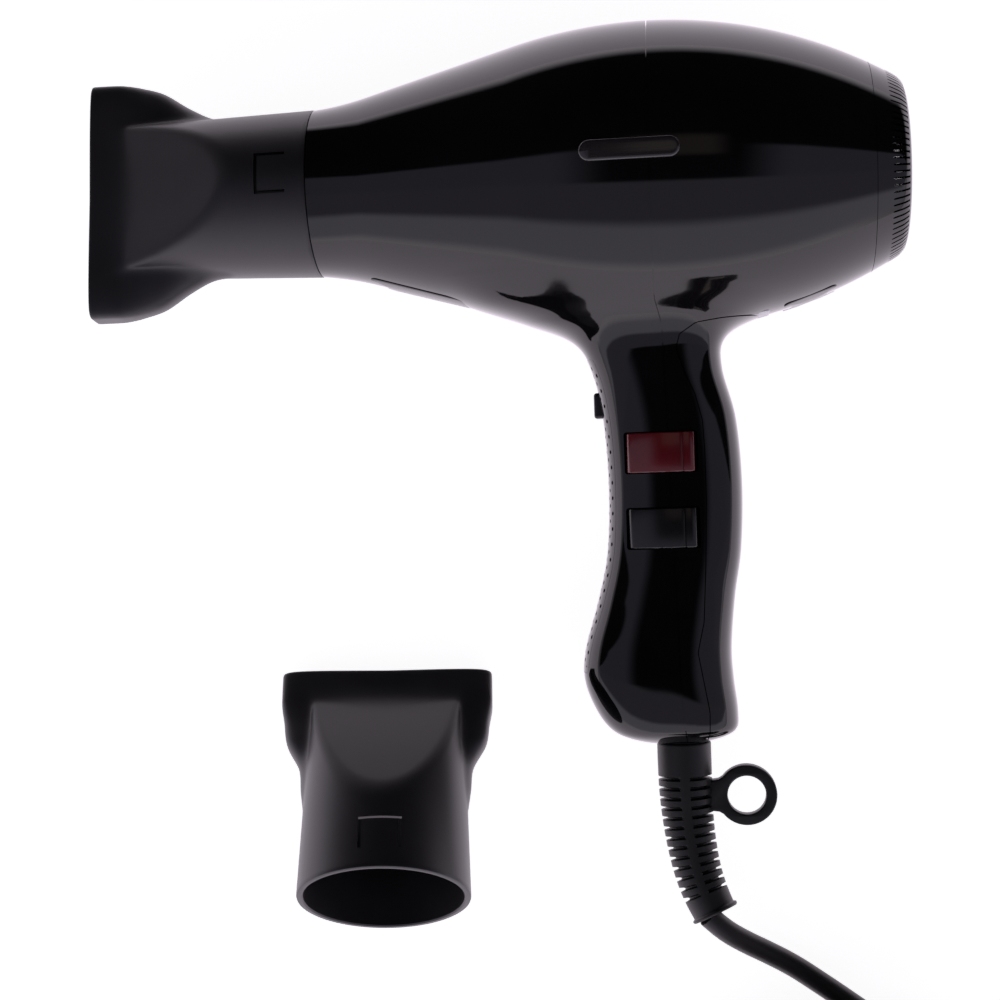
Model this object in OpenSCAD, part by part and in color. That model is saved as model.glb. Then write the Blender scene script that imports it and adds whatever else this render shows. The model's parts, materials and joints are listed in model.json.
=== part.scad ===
// Salon hair dryer lying on its side, with a fitted nozzle, a spare nozzle and its mains lead.
// Everything is in millimetres. The dryer is drawn in its own frame: X runs along the barrel
// towards the air inlet, the handle points to -Y, and +Z is the side that carries the switches.
// lie() then lays the finished dryer on the table, whose top is the plane z = 0.

/* [Barrel] */
// Radius of the barrel at the seam between its two casings
barrel_r = 47.8; // [46:0.1:50]
// Distance from the seam to the front end of the casing
nose_len = 104; // [102:0.5:106]
// Distance from the seam to the joint of the rear cover
tail_len = 66; // [65:0.5:67]
// Length of the rear cover
cover_len = 11; // [10.5:0.5:12]
// Radius of the lengthwise curve ahead of the seam
front_curve = 155; // [152:1:165]
// Radius of the lengthwise curve behind the seam
tail_curve = 146; // [144:1:150]
// Slope of the straight taper, in degrees
taper = 15.6; // [15.2:0.1:15.8]
// Wall of the casings
wall = 2.8; // [2.6:0.1:3]

/* [Handle] */
// Distance from the barrel axis to the end of the handle
handle_end = 174.5; // [173:0.5:176]
// Squareness of the handle's section: 2 is an ellipse
handle_square = 2.8; // [2.4:0.1:3.2]
// Thickness of the ribbed and plain inserts let into the handle
insert_t = 1.3; // [1:0.1:1.5]

/* [Nozzles] */
// Radius of the outlet spigot that a nozzle turns on
spigot_r = 24; // [23.5:0.1:24.4]
// Radial clearance between a nozzle and the spigot
nozzle_play = 0.06; // [0.03:0.01:0.1]
// Length of a nozzle from its joint to its mouth
nozzle_len = 73; // [72:0.5:76]
// Width of the fitted nozzle's mouth
wide_mouth = 76; // [72:1:80]
// Width of the spare nozzle's mouth
narrow_mouth = 66; // [62:1:72]
// Outer thickness of both mouths
mouth_t = 13; // [12:0.5:15]
// Turn of the fitted nozzle about the barrel axis, in degrees
nozzle_turn = -8; // [-12:1:0]

/* [Switches] */
// Length of a rocker, across the handle
rocker_l = 21.2; // [21:0.1:21.4]
// Width of a rocker, along the handle
rocker_w = 12.1; // [11.8:0.1:12.2]
// Distance from the barrel axis to the speed rocker
speed_y = 85.3; // [84:0.1:86]
// Distance from the barrel axis to the heat rocker
heat_y = 108.2; // [107:0.1:109]
// Lean of both switches towards the front of the handle, in degrees
switch_lean = 7.5; // [7:0.5:8]

/* [Motor and fan] */
// Radius of the motor's laminations
stator_r = 21.8; // [21:0.1:22]
// Radius of the motor shaft
shaft_r = 2.5; // [2.4:0.1:2.6]
// Radial clearance of the shaft in its bearings
shaft_play = 0.05; // [0.02:0.01:0.1]
// Radius of the fan over its blade tips
fan_r = 31.6; // [30:0.1:31.8]
// Number of fan blades
fan_blades = 9; // [7:1:11]

/* [Mains lead] */
// Diameter of the lead
lead_d = 7; // [6.8:0.1:7.2]
// Radius of the coil at the middle of its turns
coil_r = 42; // [40:1:44]
// Turns beside each other, and also on each other, in the coil
coil_rows = 3; // [3:1:3]

/* [Rest pose] */
// Roll of the dryer about its barrel axis until the handle touches the table, in degrees
rest_roll = 10.4; // [9:0.1:11]
// Pitch of the barrel, nose down when negative, in degrees
rest_pitch = -5.7; // [-6:0.1:0]
// Place of the barrel's seam centre on the table, across
rest_x = 49.2; // [45:0.1:55]
// Place of the barrel's seam centre on the table, up the handle
rest_y = 89.9; // [80:0.1:100]

/* [Hidden] */
$fn = 48;

// ---- the barrel's lengthwise curve ----
tip_slope = 6;                                  // slope of the casing at its front end, degrees
nose_flare = 16;                                // length of the hollow curve at the front end
arc_end_x = -front_curve * sin(taper);
arc_end_r = barrel_r - front_curve * (1 - cos(taper));
flare_x = nose_flare - nose_len;
flare_r = arc_end_r + (flare_x - arc_end_x) * tan(taper);
flare_curve = nose_flare / (sin(taper) - sin(tip_slope));

function drop(curve, x) = curve - sqrt(curve * curve - x * x);
function flare_angle(x) = asin(sin(taper) - (flare_x - x) / flare_curve);
function barrel_at(x) =
    x >= 0 ? barrel_r - drop(tail_curve, x)
    : x >= arc_end_x ? barrel_r - drop(front_curve, x)
    : x >= flare_x ? arc_end_r + (x - arc_end_x) * tan(taper)
    : flare_r - flare_curve * (cos(flare_angle(x)) - cos(taper));

function steps(from, to, n) = [for (i = [0:n]) from + (to - from) * i / n];
front_steps = concat(
    steps(-nose_len, flare_x, 3),
    steps(arc_end_x, 0, 4)
);
tail_steps = steps(0, tail_len, 6);

// ---- the handle: [distance from the barrel axis, front edge, rear edge, half width] ----
handle_stations = [
    [30, -62, 40, 26],
    [38, -52, 34, 24],
    [44, -38, 26, 21],
    [50, -26, 20.3, 19],
    [60, -20.4, 19.8, 18],
    [75, -17.5, 23.4, 17.5],
    [95, -16.5, 24.7, 17.5],
    [115, -17.5, 23.8, 17.5],
    [130, -20.8, 21.4, 18],
    [145, -25.2, 19.9, 19],
    [155, -25.8, 20.2, 19.4],
    [165, -22, 21.2, 18.5],
    [171, -17, 20.4, 16],
    [174.5, -10, 14.5, 11]
];
handle_sides = 28;

function smooth_at(list, i, t) =
    let (a = list[max(i - 1, 0)], b = list[i], c = list[i + 1], d = list[min(i + 2, len(list) - 1)])
    (2 * b + (c - a) * t + (2 * a - 5 * b + 4 * c - d) * t * t + (3 * b - a - 3 * c + d) * t * t * t) / 2;
function smooth(list, n) = concat(
    [for (i = [0:len(list) - 2], k = [0:n - 1]) smooth_at(list, i, k / n)],
    [list[len(list) - 1]]
);
function bulge(c, square) = sign(c) * pow(abs(c), 2 / square);
function handle_ring(s, inset) =
    let (a = (s[2] - s[1]) / 2 - inset, b = s[3] - inset, mid = (s[1] + s[2]) / 2)
    [for (i = [0:handle_sides - 1])
        let (w = 360 * i / handle_sides)
        [mid - a * bulge(cos(w), handle_square), -s[0], b * bulge(sin(w), handle_square)]];

// ---- general shapes ----
module lie()
    translate([rest_x, rest_y, front_curve - (front_curve - barrel_r) * cos(rest_pitch)])
        rotate([rest_roll, rest_pitch, 0])
            children();
module along_x() rotate([0, 90, 0]) children();
module along_y() rotate([-90, 0, 0]) children();
module spin(profile) along_x() rotate_extrude() polygon(profile);
module rod_x(x0, x1, r) translate([x0, 0, 0]) along_x() cylinder(h = x1 - x0, r = r);
module tube_x(x0, x1, r_out, r_in)
    translate([x0, 0, 0]) along_x() difference() {
        cylinder(h = x1 - x0, r = r_out);
        translate([0, 0, -1]) cylinder(h = x1 - x0 + 2, r = r_in);
    }
module block(lo, hi) translate(lo) cube(hi - lo);

// A closed skin through rings of points, with a flat cap on both ends
module loft(rings) {
    n = len(rings[0]);
    last = (len(rings) - 1) * n;
    polyhedron(
        points = [for (r = rings) each r],
        faces = concat(
            [[for (i = [0:n - 1]) n - 1 - i], [for (i = [0:n - 1]) last + i]],
            [for (j = [0:len(rings) - 2], i = [0:n - 1])
                [j * n + i, j * n + (i + 1) % n, (j + 1) * n + (i + 1) % n]],
            [for (j = [0:len(rings) - 2], i = [0:n - 1])
                [j * n + i, (j + 1) * n + (i + 1) % n, (j + 1) * n + i]]
        )
    );
}
// A closed skin whose last ring joins its first, as a tube with a wall has
module loft_wall(rings) {
    n = len(rings[0]);
    m = len(rings);
    polyhedron(
        points = [for (r = rings) each r],
        faces = concat(
            [for (j = [0:m - 1], i = [0:n - 1])
                [j * n + i, j * n + (i + 1) % n, ((j + 1) % m) * n + (i + 1) % n]],
            [for (j = [0:m - 1], i = [0:n - 1])
                [j * n + i, ((j + 1) % m) * n + (i + 1) % n, ((j + 1) % m) * n + i]]
        )
    );
}
function unit(v) = v / norm(v);
function lead_ring(p, before, after, r, sides) =
    let (along = unit(after - before), side = unit(cross(along, [0, 0, 1])), up = cross(side, along))
    [for (i = [0:sides - 1]) let (w = 360 * i / sides) p + r * (cos(w) * side + sin(w) * up)];
function lead_rings(path, radii, sides) =
    [for (i = [0:len(path) - 1])
        lead_ring(path[i], path[max(i - 1, 0)], path[min(i + 1, len(path) - 1)], radii[i], sides)];

// ---- casings ----
seam_side = [[0, 80], [0, -40], [1.8, -47], [4.2, -162], [6.2, -182]];
seam_gap = 0.1;
spine_edge = [
    [34, -44], [20, -45.5], [12, -46.8], [7, -50], [5.8, -54], [8.2, -61.6], [11, -68],
    [13, -76], [13.4, -85], [13.4, -100], [12.6, -120], [11.5, -137], [9.4, -146], [12.4, -164],
    [12.2, -171], [8.5, -182], [45, -182]
];
strip_half = 7;                                 // half width of the perforated strip
strip_top = -56;
strip_end = -152;
outlet_bore = spigot_r + 0.1;
outlet_seat_x = -96;
lead_x = 4.1;                                   // where the lead leaves the handle's end

module handle_solid(inset)
    loft([for (s = smooth(handle_stations, 2)) handle_ring(s, inset)]);
module barrel_solid(steps_x, inset)
    along_x() rotate_extrude($fn = 72) polygon(concat(
        [[0, steps_x[0]]],
        [for (x = steps_x) [barrel_at(x) - inset, x]],
        [[0, steps_x[len(steps_x) - 1]]]
    ));
module casing_outside() {
    barrel_solid(concat(front_steps, [for (i = [1:6]) tail_steps[i]]), 0);
    handle_solid(0);
}
module casing_hollow() {
    barrel_solid(concat(
        [-nose_len - 1], [for (i = [1:len(front_steps) - 1]) front_steps[i]],
        [for (i = [1:5]) tail_steps[i]], [tail_len + 1]
    ), wall);
    rod_x(-nose_len - 1, outlet_seat_x, outlet_bore);
    difference() {
        handle_solid(wall);
        block([-80, -200, -40], [60, 3 - handle_end, 40]);
    }
    translate([lead_x, -200, 0]) along_y() cylinder(h = 45, r = 7.5);
}
module front_side() linear_extrude(height = 140, center = true) polygon(concat(
    [[-150, 80]], [for (p = seam_side) p - [seam_gap / 2, 0]], [[-150, -182]]
));
module rear_side() linear_extrude(height = 140, center = true) polygon(concat(
    [[150, 80]], [for (p = seam_side) p + [seam_gap / 2, 0]], [[150, -182]]
));
switch_seat = [0.4, 14.4];                      // middle of a bezel's top: along the barrel, and height
module switch_place(y) translate([switch_seat[0], -y, switch_seat[1]]) rotate([0, -switch_lean, 0]) children();
bezel = [rocker_l + 3.2, rocker_w + 3.1];
window = [rocker_l + 1.2, rocker_w + 0.6];
switch_deep = 14.5;
module switch_hole(y) switch_place(y) {
    block([-bezel[0] / 2 - 0.2, -bezel[1] / 2 - 0.2, -switch_deep - 1], [bezel[0] / 2 + 0.2, bezel[1] / 2 + 0.2, 0.1]);
    block([-window[0] / 2, -window[1] / 2, 0], [window[0] / 2, window[1] / 2, 9]);
}
button_y = -70;
button_size = [8, 7];                           // along and across the handle
module button_hole() block(
    [-30, button_y - button_size[0] / 2 - 0.3, -button_size[1] / 2 - 0.3],
    [-12, button_y + button_size[0] / 2 + 0.3, button_size[1] / 2 + 0.3]
);
screw_ys = [-57, -128];
boss_r = 3.6;
module boss_bars() intersection() {
    handle_solid(0.5);
    for (y = screw_ys) translate([-40, y, -8]) along_x() cylinder(h = 80, r = boss_r, $fn = 20);
}
module screw_bores() for (y = screw_ys) translate([-10, y, -8]) {
    along_x() cylinder(h = 30, r = 1.6, $fn = 16);
    translate([20, 0, 0]) along_x() cylinder(h = 30, r = 3.1, $fn = 16);
}
module strip_zone(grow) intersection() {
    difference() {
        handle_solid(-1);
        handle_solid(insert_t + grow);
    }
    block([-40, strip_end - grow, -strip_half - grow], [-8, strip_top + grow, strip_half + grow]);
}
module spine_zone(grow) intersection() {
    difference() {
        handle_solid(-1);
        handle_solid(insert_t + grow);
    }
    linear_extrude(height = 80, center = true)
        polygon([for (p = spine_edge) p - [grow, -grow]]);
}
// resize() with zeros keeps the size and makes each casing one closed skin
module casing_half() resize([0, 0, 0]) difference() {
    union() {
        difference() {
            casing_outside();
            casing_hollow();
        }
        boss_bars();
    }
    switch_hole(speed_y);
    switch_hole(heat_y);
    button_hole();
    screw_bores();
    strip_zone(0.15);
    spine_zone(0.15);
    rod_x(-nose_len - 2, tail_len + 2, 25.5 - 2);
}

module front_casing() color([0.03, 0.03, 0.035]) lie() resize([0, 0, 0]) intersection() {
    casing_half();
    front_side();
}
module rear_casing() color([0.03, 0.03, 0.035]) lie() resize([0, 0, 0]) intersection() {
    casing_half();
    rear_side();
}
module handle_vent_strip() color([0.06, 0.06, 0.065]) lie() resize([0, 0, 0]) difference() {
    intersection() {
        strip_zone(0);
        handle_solid(0);
    }
    button_hole();
}
module handle_rear_insert() color([0.03, 0.03, 0.035]) lie() resize([0, 0, 0]) intersection() {
    spine_zone(0);
    handle_solid(0);
}

// ---- plates on the barrel ----
skin_gap = 0.12;
module barrel_plate(x0, x1, thick) spin(concat(
    [for (x = steps(x0, x1, 4)) [barrel_at(x) + skin_gap, x]],
    [for (x = steps(x1, x0, 4)) [barrel_at(x) + skin_gap + thick, x]]
));
module badge_plate() color([0.12, 0.12, 0.13]) lie() intersection() {
    barrel_plate(-26, 8, 0.8);
    translate([-9, 0, 30]) linear_extrude(height = 30) {
        square([23, 7], center = true);
        for (x = [-11.5, 11.5]) translate([x, 0]) circle(r = 3.5);
    }
}
module front_label_panel() color([0.05, 0.05, 0.05]) lie() intersection() {
    barrel_plate(-88, -48, 0.25);
    block([-90, -60, -9], [-46, -10, 9]);
}
module rear_label_panel() color([0.05, 0.05, 0.05]) lie() intersection() {
    barrel_plate(39, 55, 0.25);
    block([38, -60, -8], [56, -10, 8]);
}
module rating_plate() color([0.75, 0.75, 0.76]) lie() intersection() {
    barrel_plate(26, 36, 0.2);
    block([25, -60, -5], [37, -10, 5]);
}

// ---- outlet ----
outlet_end_x = -122;
module outlet_ring() color([0.07, 0.07, 0.07]) lie()
    tube_x(outlet_end_x, outlet_seat_x, spigot_r, spigot_r - 1.8);
module outlet_grille() color([0.3, 0.3, 0.3]) lie() difference() {
    tube_x(outlet_end_x + 1, outlet_end_x + 3, spigot_r - 1.85, 2.5);
    for (band = [[4.5, 8], [10, 13.5], [15.5, 19.5]])
        difference() {
            tube_x(outlet_end_x, outlet_end_x + 4, band[1], band[0]);
            for (turn = [0, 60, 120]) rotate([turn, 0, 0])
                block([outlet_end_x - 1, -30, -0.8], [outlet_end_x + 5, 30, 0.8]);
        }
}

// ---- heater ----
sleeve = [[21.6, -95], [24.4, -88], [31.6, -60], [38.8, -28]];
coil_xs = [for (i = [0:5]) -86 + 10 * i];
function coil_ring_r(x) = 17 + (x + 86) / 5;
module mica_sleeve() color([0.75, 0.68, 0.5]) lie() spin(concat(
    sleeve, [for (i = [3:-1:0]) sleeve[i] + [0.6, 0]]
));
module heater_board() rotate([90, 0, 0]) linear_extrude(height = 0.8, center = true)
    polygon([[-94, -21], [-88, -23.6], [-60, -30.8], [-30, -37.4], [-30, 37.4], [-60, 30.8], [-88, 23.6], [-94, 21]]);
module heater_boards() color([0.75, 0.68, 0.5]) lie() difference() {
    for (turn = [0, 90]) rotate([turn, 0, 0]) heater_board();
    for (x = coil_xs) tube_x(x - 2.1, x + 2.1, coil_ring_r(x) + 2.1, coil_ring_r(x) - 2.1);
}
module heater_coils() color([0.5, 0.48, 0.46]) lie() for (x = coil_xs)
    translate([x, 0, 0]) along_x() rotate_extrude() translate([coil_ring_r(x), 0]) circle(r = 1.8, $fn = 16);
module thermostat() color([0.6, 0.6, 0.62]) lie() translate([-34, 12, 12]) along_x() {
    cylinder(h = 4.5, r = 6);
    translate([0, 0, 4.5]) cylinder(h = 2, r = 4.5);
}
module thermal_fuse() color([0.85, 0.85, 0.82]) lie()
    translate([-60, -8, 8]) along_x() cylinder(h = 11, r = 1.7, $fn = 24);

// ---- motor, fan and the air guide ----
guide_ring_r = 38.2;
stator_x = [8, 28];
module motor_mount() color([0.1, 0.1, 0.1]) lie() {
    tube_x(0, 36, stator_r + 2.6, stator_r + 0.8);
    tube_x(20, 36, guide_ring_r + 1.4, guide_ring_r);
    for (i = [0:8]) rotate([40 * i, 0, 0]) translate([28, 0, 0]) intersection() {
        rotate([0, 0, 0]) translate([0, 0, stator_r + 2]) rotate([0, 0, 20])
            block([-7, -0.7, 0], [7, 0.7, guide_ring_r - stator_r - 1.6]);
        tube_x(-8, 8, guide_ring_r + 0.6, stator_r + 2);
    }
}
module pole_window(x0, x1, r_out, r_in) for (turn = [50, 230]) rotate([turn, 0, 0])
    translate([x0, 0, 0]) along_x() rotate_extrude(angle = 80) translate([r_in, 0]) square([r_out - r_in, x1 - x0]);
module motor_stator() color([0.45, 0.46, 0.48]) lie() difference() {
    tube_x(stator_x[0], stator_x[1], stator_r, 12.2);
    pole_window(stator_x[0] - 1, stator_x[1] + 1, 18.5, 13);
}
module field_windings() color([0.72, 0.35, 0.15]) lie()
    pole_window(stator_x[0] - 3.5, stator_x[1] + 3.5, 18.3, 13.2);
bearing_r = 4;
module front_bracket() color([0.55, 0.56, 0.58]) lie() difference() {
    union() {
        rod_x(0.5, 3, stator_r + 0.7);
        rod_x(-14, 1, 11);
    }
    rod_x(-12, 1, 9.5);
    rod_x(0, 4, 9.5);
    rod_x(-15, 4, bearing_r + 0.02);
    block([-8, -20, -3.4], [0, 20, 3.4]);
    for (turn = [45:90:315]) rotate([turn, 0, 0]) translate([-1, 16, 0]) along_x() cylinder(h = 6, r = 3);
}
module rear_bracket() color([0.55, 0.56, 0.58]) lie() difference() {
    rod_x(33, 35.5, stator_r + 0.7);
    rod_x(30, 38, bearing_r + 0.02);
    for (turn = [0:60:300]) rotate([turn, 0, 0]) translate([30, 13, 0]) along_x() cylinder(h = 8, r = 4);
}
module shaft_bearings() color([0.8, 0.62, 0.3]) lie() for (x = [-14, 32.5])
    tube_x(x, x + 4, bearing_r, shaft_r + shaft_play);
module carbon_brushes() color([0.15, 0.15, 0.15]) lie() for (side = [-1, 1])
    translate([-4, side * 8.9, 0]) cube([4, 6.2, 4], center = true);
module brush_holders() color([0.8, 0.65, 0.3]) lie() for (side = [-1, 1])
    difference() {
        translate([-4, side * 11.5, 0]) cube([5.6, 8, 5.6], center = true);
        translate([-4, side * 10, 0]) cube([4.3, 12, 4.3], center = true);
    }
module fan_shroud() color([0.1, 0.1, 0.1]) lie() {
    tube_x(36.2, 54, fan_r + 2.2, fan_r + 0.7);
    tube_x(36.2, 38, guide_ring_r + 1.4, fan_r + 0.7);
}
module motor_shaft() color([0.7, 0.7, 0.72]) lie() rod_x(-13.5, 53.5, shaft_r);
module armature_core() color([0.45, 0.46, 0.48]) lie() difference() {
    tube_x(stator_x[0], stator_x[1], 11.6, shaft_r);
    for (i = [0:11]) rotate([30 * i, 0, 0]) block([stator_x[0] - 1, -0.9, 6.5], [stator_x[1] + 1, 0.9, 13]);
}
module armature_windings() color([0.72, 0.35, 0.15]) lie() {
    tube_x(stator_x[0] - 3.5, stator_x[0], 10.2, shaft_r);
    tube_x(stator_x[1], stator_x[1] + 3.5, 10.2, shaft_r);
    for (i = [0:11]) rotate([30 * i, 0, 0]) block([stator_x[0] - 1, -0.8, 6.6], [stator_x[1] + 1, 0.8, 9.8]);
}
module commutator() color([0.75, 0.42, 0.2]) lie() difference() {
    tube_x(-7, 2, 5.6, shaft_r);
    for (i = [0:11]) rotate([15 + 30 * i, 0, 0]) block([-8, -0.2, 5], [1, 0.2, 6]);
}
fan_x = [40, 50];
module fan_impeller() color([0.12, 0.12, 0.12]) lie() {
    tube_x(fan_x[0], fan_x[1], 12, shaft_r);
    intersection() {
        tube_x(fan_x[0] - 2, fan_x[1] + 2, fan_r, 11);
        for (i = [0:fan_blades - 1]) rotate([360 * i / fan_blades, 0, 0])
            translate([45, 0, 10]) rotate([0, 0, 38]) block([-6, -0.6, 0], [6, 0.6, 30]);
    }
}
module fan_nut() color([0.7, 0.7, 0.72]) lie() translate([fan_x[1], 0, 0]) along_x() difference() {
    cylinder(h = 3, r = 4.5, $fn = 6);
    translate([0, 0, -1]) cylinder(h = 5, r = shaft_r);
}

// ---- rear cover and filter ----
cover_x = tail_len + 0.15;
cover_end = tail_len + cover_len;
skirt_r = barrel_at(tail_len) - wall - 0.35;
rim_round = 2;
module rear_cover() color([0.04, 0.04, 0.045]) lie() difference() {
    union() {
        spin(concat(
            [[skirt_r - 1.8, cover_x]],
            [for (x = steps(cover_x, cover_end - rim_round, 3)) [barrel_at(x), x]],
            [for (w = [30, 60, 90]) [
                barrel_at(cover_end - rim_round) - rim_round * (1 - cos(w)) - 0.6 * sin(w),
                cover_end - rim_round + rim_round * sin(w)
            ]],
            [[22, cover_end], [22, cover_end - 2], [skirt_r - 1.8, cover_end - 6]]
        ));
        tube_x(60, cover_x + 1, skirt_r, skirt_r - 1.8);
        tube_x(cover_end - 2, cover_end, 22.5, 20.9);
        for (band = [[5.6, 0], [13.2, 11.8], [18.2, 16.8]]) tube_x(cover_end - 2, cover_end, band[0], band[1]);
        for (turn = [0:45:135]) rotate([turn, 0, 0]) block([cover_end - 2, -22.2, -0.8], [cover_end, 22.2, 0.8]);
    }
    for (i = [0:47]) rotate([7.5 * i, 0, 0])
        block([cover_x + 4.5, -0.6, 23], [cover_end - 2.6, 0.6, 34]);
}
mesh_r = skirt_r - 1.9;
module filter_mesh() color([0.5, 0.5, 0.52]) lie() difference() {
    rod_x(62, 62.6, mesh_r);
    for (ring = [1:6]) for (i = [0:5 * ring - 1]) rotate([360 * i / (5 * ring), 0, 0])
        translate([61, 0, 3.8 * ring]) along_x() cylinder(h = 3, r = 1.3, $fn = 16);
}
module filter_frame() color([0.1, 0.1, 0.1]) lie() {
    tube_x(62.6, 64.6, mesh_r, mesh_r - 1.4);
    for (turn = [0, 90]) rotate([turn, 0, 0]) block([62.6, -mesh_r + 0.8, -0.8], [63.8, mesh_r - 0.8, 0.8]);
}

// ---- nozzles ----
// [distance from the joint, half width, half thickness, squareness of the section]
function nozzle_stations(mouth) = [
    [22.5, 24.9, 24.9, 2],
    [27, 24.9, 24.4, 2],
    [34, 25.8, 21.8, 2.15],
    [42, 0.3 * mouth + 6.4, 17.6, 2.5],
    [50, 0.4 * mouth + 3.6, 13.4, 3.1],
    [57, mouth / 2 - 1.5, 9.8, 4],
    [62, mouth / 2 - 0.3, 7.6, 5.5],
    [66, mouth / 2, mouth_t / 2, 7],
    [nozzle_len, mouth / 2, mouth_t / 2, 7]
];
nozzle_sides = 40;
nozzle_wall = 1.9;
nozzle_joint = -nose_len - 0.2;
function nozzle_ring(s, inset) = [for (i = [0:nozzle_sides - 1])
    let (w = 360 * i / nozzle_sides)
    [nozzle_joint - s[0], (s[1] - inset) * bulge(cos(w), s[3]), (s[2] - inset) * bulge(sin(w), s[3])]];
module nozzle_shape(mouth) {
    difference() {
        spin([
            [spigot_r + nozzle_play, nozzle_joint], [26.1, nozzle_joint],
            [25.3, nozzle_joint - 24], [22.6, nozzle_joint - 24],
            [22.6, nozzle_joint - 19], [spigot_r + nozzle_play, nozzle_joint - 19]
        ]);
        for (z = [-6.4, 5.4]) block([-120, z, 20], [-110.5, z + 1, 30]);
        block([-120, -6.4, 20], [-119, 6.4, 30]);
    }
    loft_wall(concat(
        [for (s = nozzle_stations(mouth)) nozzle_ring(s, 0)],
        [for (i = [8:-1:0]) nozzle_ring(nozzle_stations(mouth)[i] + [i == 8 ? 0.5 : 0, 0, 0, 0], nozzle_wall)]
    ));
}
module nozzle() color([0.1, 0.1, 0.105]) lie() rotate([nozzle_turn, 0, 0]) nozzle_shape(wide_mouth);
// The spare nozzle rests on its neck and on the edge of its mouth
spare_lean = atan(max([
    for (s = nozzle_stations(narrow_mouth)) if (s[0] < nozzle_len - 10) (s[2] - mouth_t / 2) / (nozzle_len - s[0])
]));
spare_place = [-85, -218];                      // the middle of its collar's end
module spare_nozzle() color([0.1, 0.1, 0.105])
    on_table(spare_place) translate([0, 0, nozzle_len * sin(spare_lean) + mouth_t / 2 * cos(spare_lean)])
        rotate([-spare_lean, 0, 0]) rotate([0, 0, -90])
            translate([-nozzle_joint, 0, 0]) nozzle_shape(narrow_mouth);

// ---- switches ----
module switch_shell() difference() {
    union() {
        block([-bezel[0] / 2, -bezel[1] / 2, -1.6], [bezel[0] / 2, bezel[1] / 2, 0]);
        block([-bezel[0] / 2 + 0.6, -bezel[1] / 2 + 0.6, -switch_deep], [bezel[0] / 2 - 0.6, bezel[1] / 2 - 0.6, -1]);
    }
    block([-window[0] / 2, -window[1] / 2, -8], [window[0] / 2, window[1] / 2, 1]);
    translate([0, -10, -4]) along_y() cylinder(h = 20, r = 1.25);
}
module rocker_shape() {
    translate([0, rocker_w / 2, 0]) rotate([90, 0, 0]) linear_extrude(height = rocker_w)
        polygon([
            [-rocker_l / 2, -0.8], [-4, -6], [4, -6], [rocker_l / 2, -0.8], [rocker_l / 2, 2],
            [6.5, 2.7], [5, 2.9], [0, 3.4], [-5, 3.3], [-rocker_l / 2, 2.1]
        ]);
    translate([0, -6.9, -4]) along_y() cylinder(h = 13.8, r = 1.2);
}
module speed_switch() color([0.05, 0.05, 0.05]) lie() switch_place(speed_y) switch_shell();
module heat_switch() color([0.05, 0.05, 0.05]) lie() switch_place(heat_y) switch_shell();
module speed_rocker() color([0.42, 0.05, 0.06]) lie() switch_place(speed_y) rocker_shape();
module heat_rocker() color([0.04, 0.04, 0.04]) lie() switch_place(heat_y) rocker_shape();
module cool_shot_button() color([0.04, 0.04, 0.04]) lie() difference() {
    union() {
        block(
            [-20.2, button_y - button_size[0] / 2, -button_size[1] / 2],
            [-12.2, button_y + button_size[0] / 2, button_size[1] / 2]
        );
        block([-13.4, button_y - 5.4, -4.6], [-11.6, button_y + 5.4, 4.6]);
    }
    block([-14, button_y - 2, -2], [-11, button_y + 2, 2]);
}
module button_spring() color([0.7, 0.7, 0.72]) lie()
    translate([-13.9, button_y, 0]) along_x() for (i = [0:4]) translate([0, 0, 0.5 + 1.7 * i])
        rotate_extrude($fn = 24) translate([1.4, 0]) circle(r = 0.35, $fn = 13);
module cool_shot_switch() color([0.16, 0.2, 0.3]) lie() block([-5.6, button_y - 5, -5], [2.4, button_y + 5, 5]);

// ---- inside the handle ----
module casing_screws() color([0.6, 0.6, 0.62]) lie() for (y = screw_ys) translate([-8, y, -8]) along_x() {
    cylinder(h = 18.5, r = 1.5, $fn = 24);
    translate([0, 0, 18.5]) cylinder(h = 2.2, r = 2.9, $fn = 24);
}
module suppressor_capacitor() color([0.75, 0.62, 0.2]) lie() block([-24, -41, -5], [-8, -29, 5]);
module terminal_block() color([0.85, 0.84, 0.8]) lie() difference() {
    block([-8, -147, -5], [14, -136, 5]);
    for (x = [-4, 3, 10]) translate([x, -150, 0]) along_y() cylinder(h = 20, r = 1.4, $fn = 20);
}
module handle_wiring() color([0.3, 0.18, 0.1]) lie() {
    for (x = [-8, 13.5, 15.7]) translate([x, -134, -3.2]) along_y() cylinder(h = 88, r = 0.9, $fn = 16);
    for (x = [-4, 3, 10]) translate([x, -135.8, 0]) along_y() cylinder(h = 4, r = 0.9, $fn = 16);
}
module inner_lead() color([0.04, 0.04, 0.04]) lie()
    translate([lead_x, -165.9, 0]) along_y() cylinder(h = 15, r = lead_d / 2);
module cord_clamp() color([0.1, 0.1, 0.1]) lie() difference() {
    block([lead_x - 10, -162, -6.5], [lead_x + 10, -155, 6.5]);
    translate([lead_x, -170, 0]) along_y() cylinder(h = 25, r = lead_d / 2 + 0.05);
    for (side = [-7, 7]) translate([lead_x + side, -158.5, -8]) cylinder(h = 20, r = 1.55, $fn = 24);
}
module clamp_screws() color([0.6, 0.6, 0.62]) lie() for (side = [-7, 7])
    translate([lead_x + side, -158.5, -6]) {
        cylinder(h = 12.6, r = 1.5, $fn = 24);
        translate([0, 0, 12.6]) cylinder(h = 2, r = 2.8, $fn = 24);
    }

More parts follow.
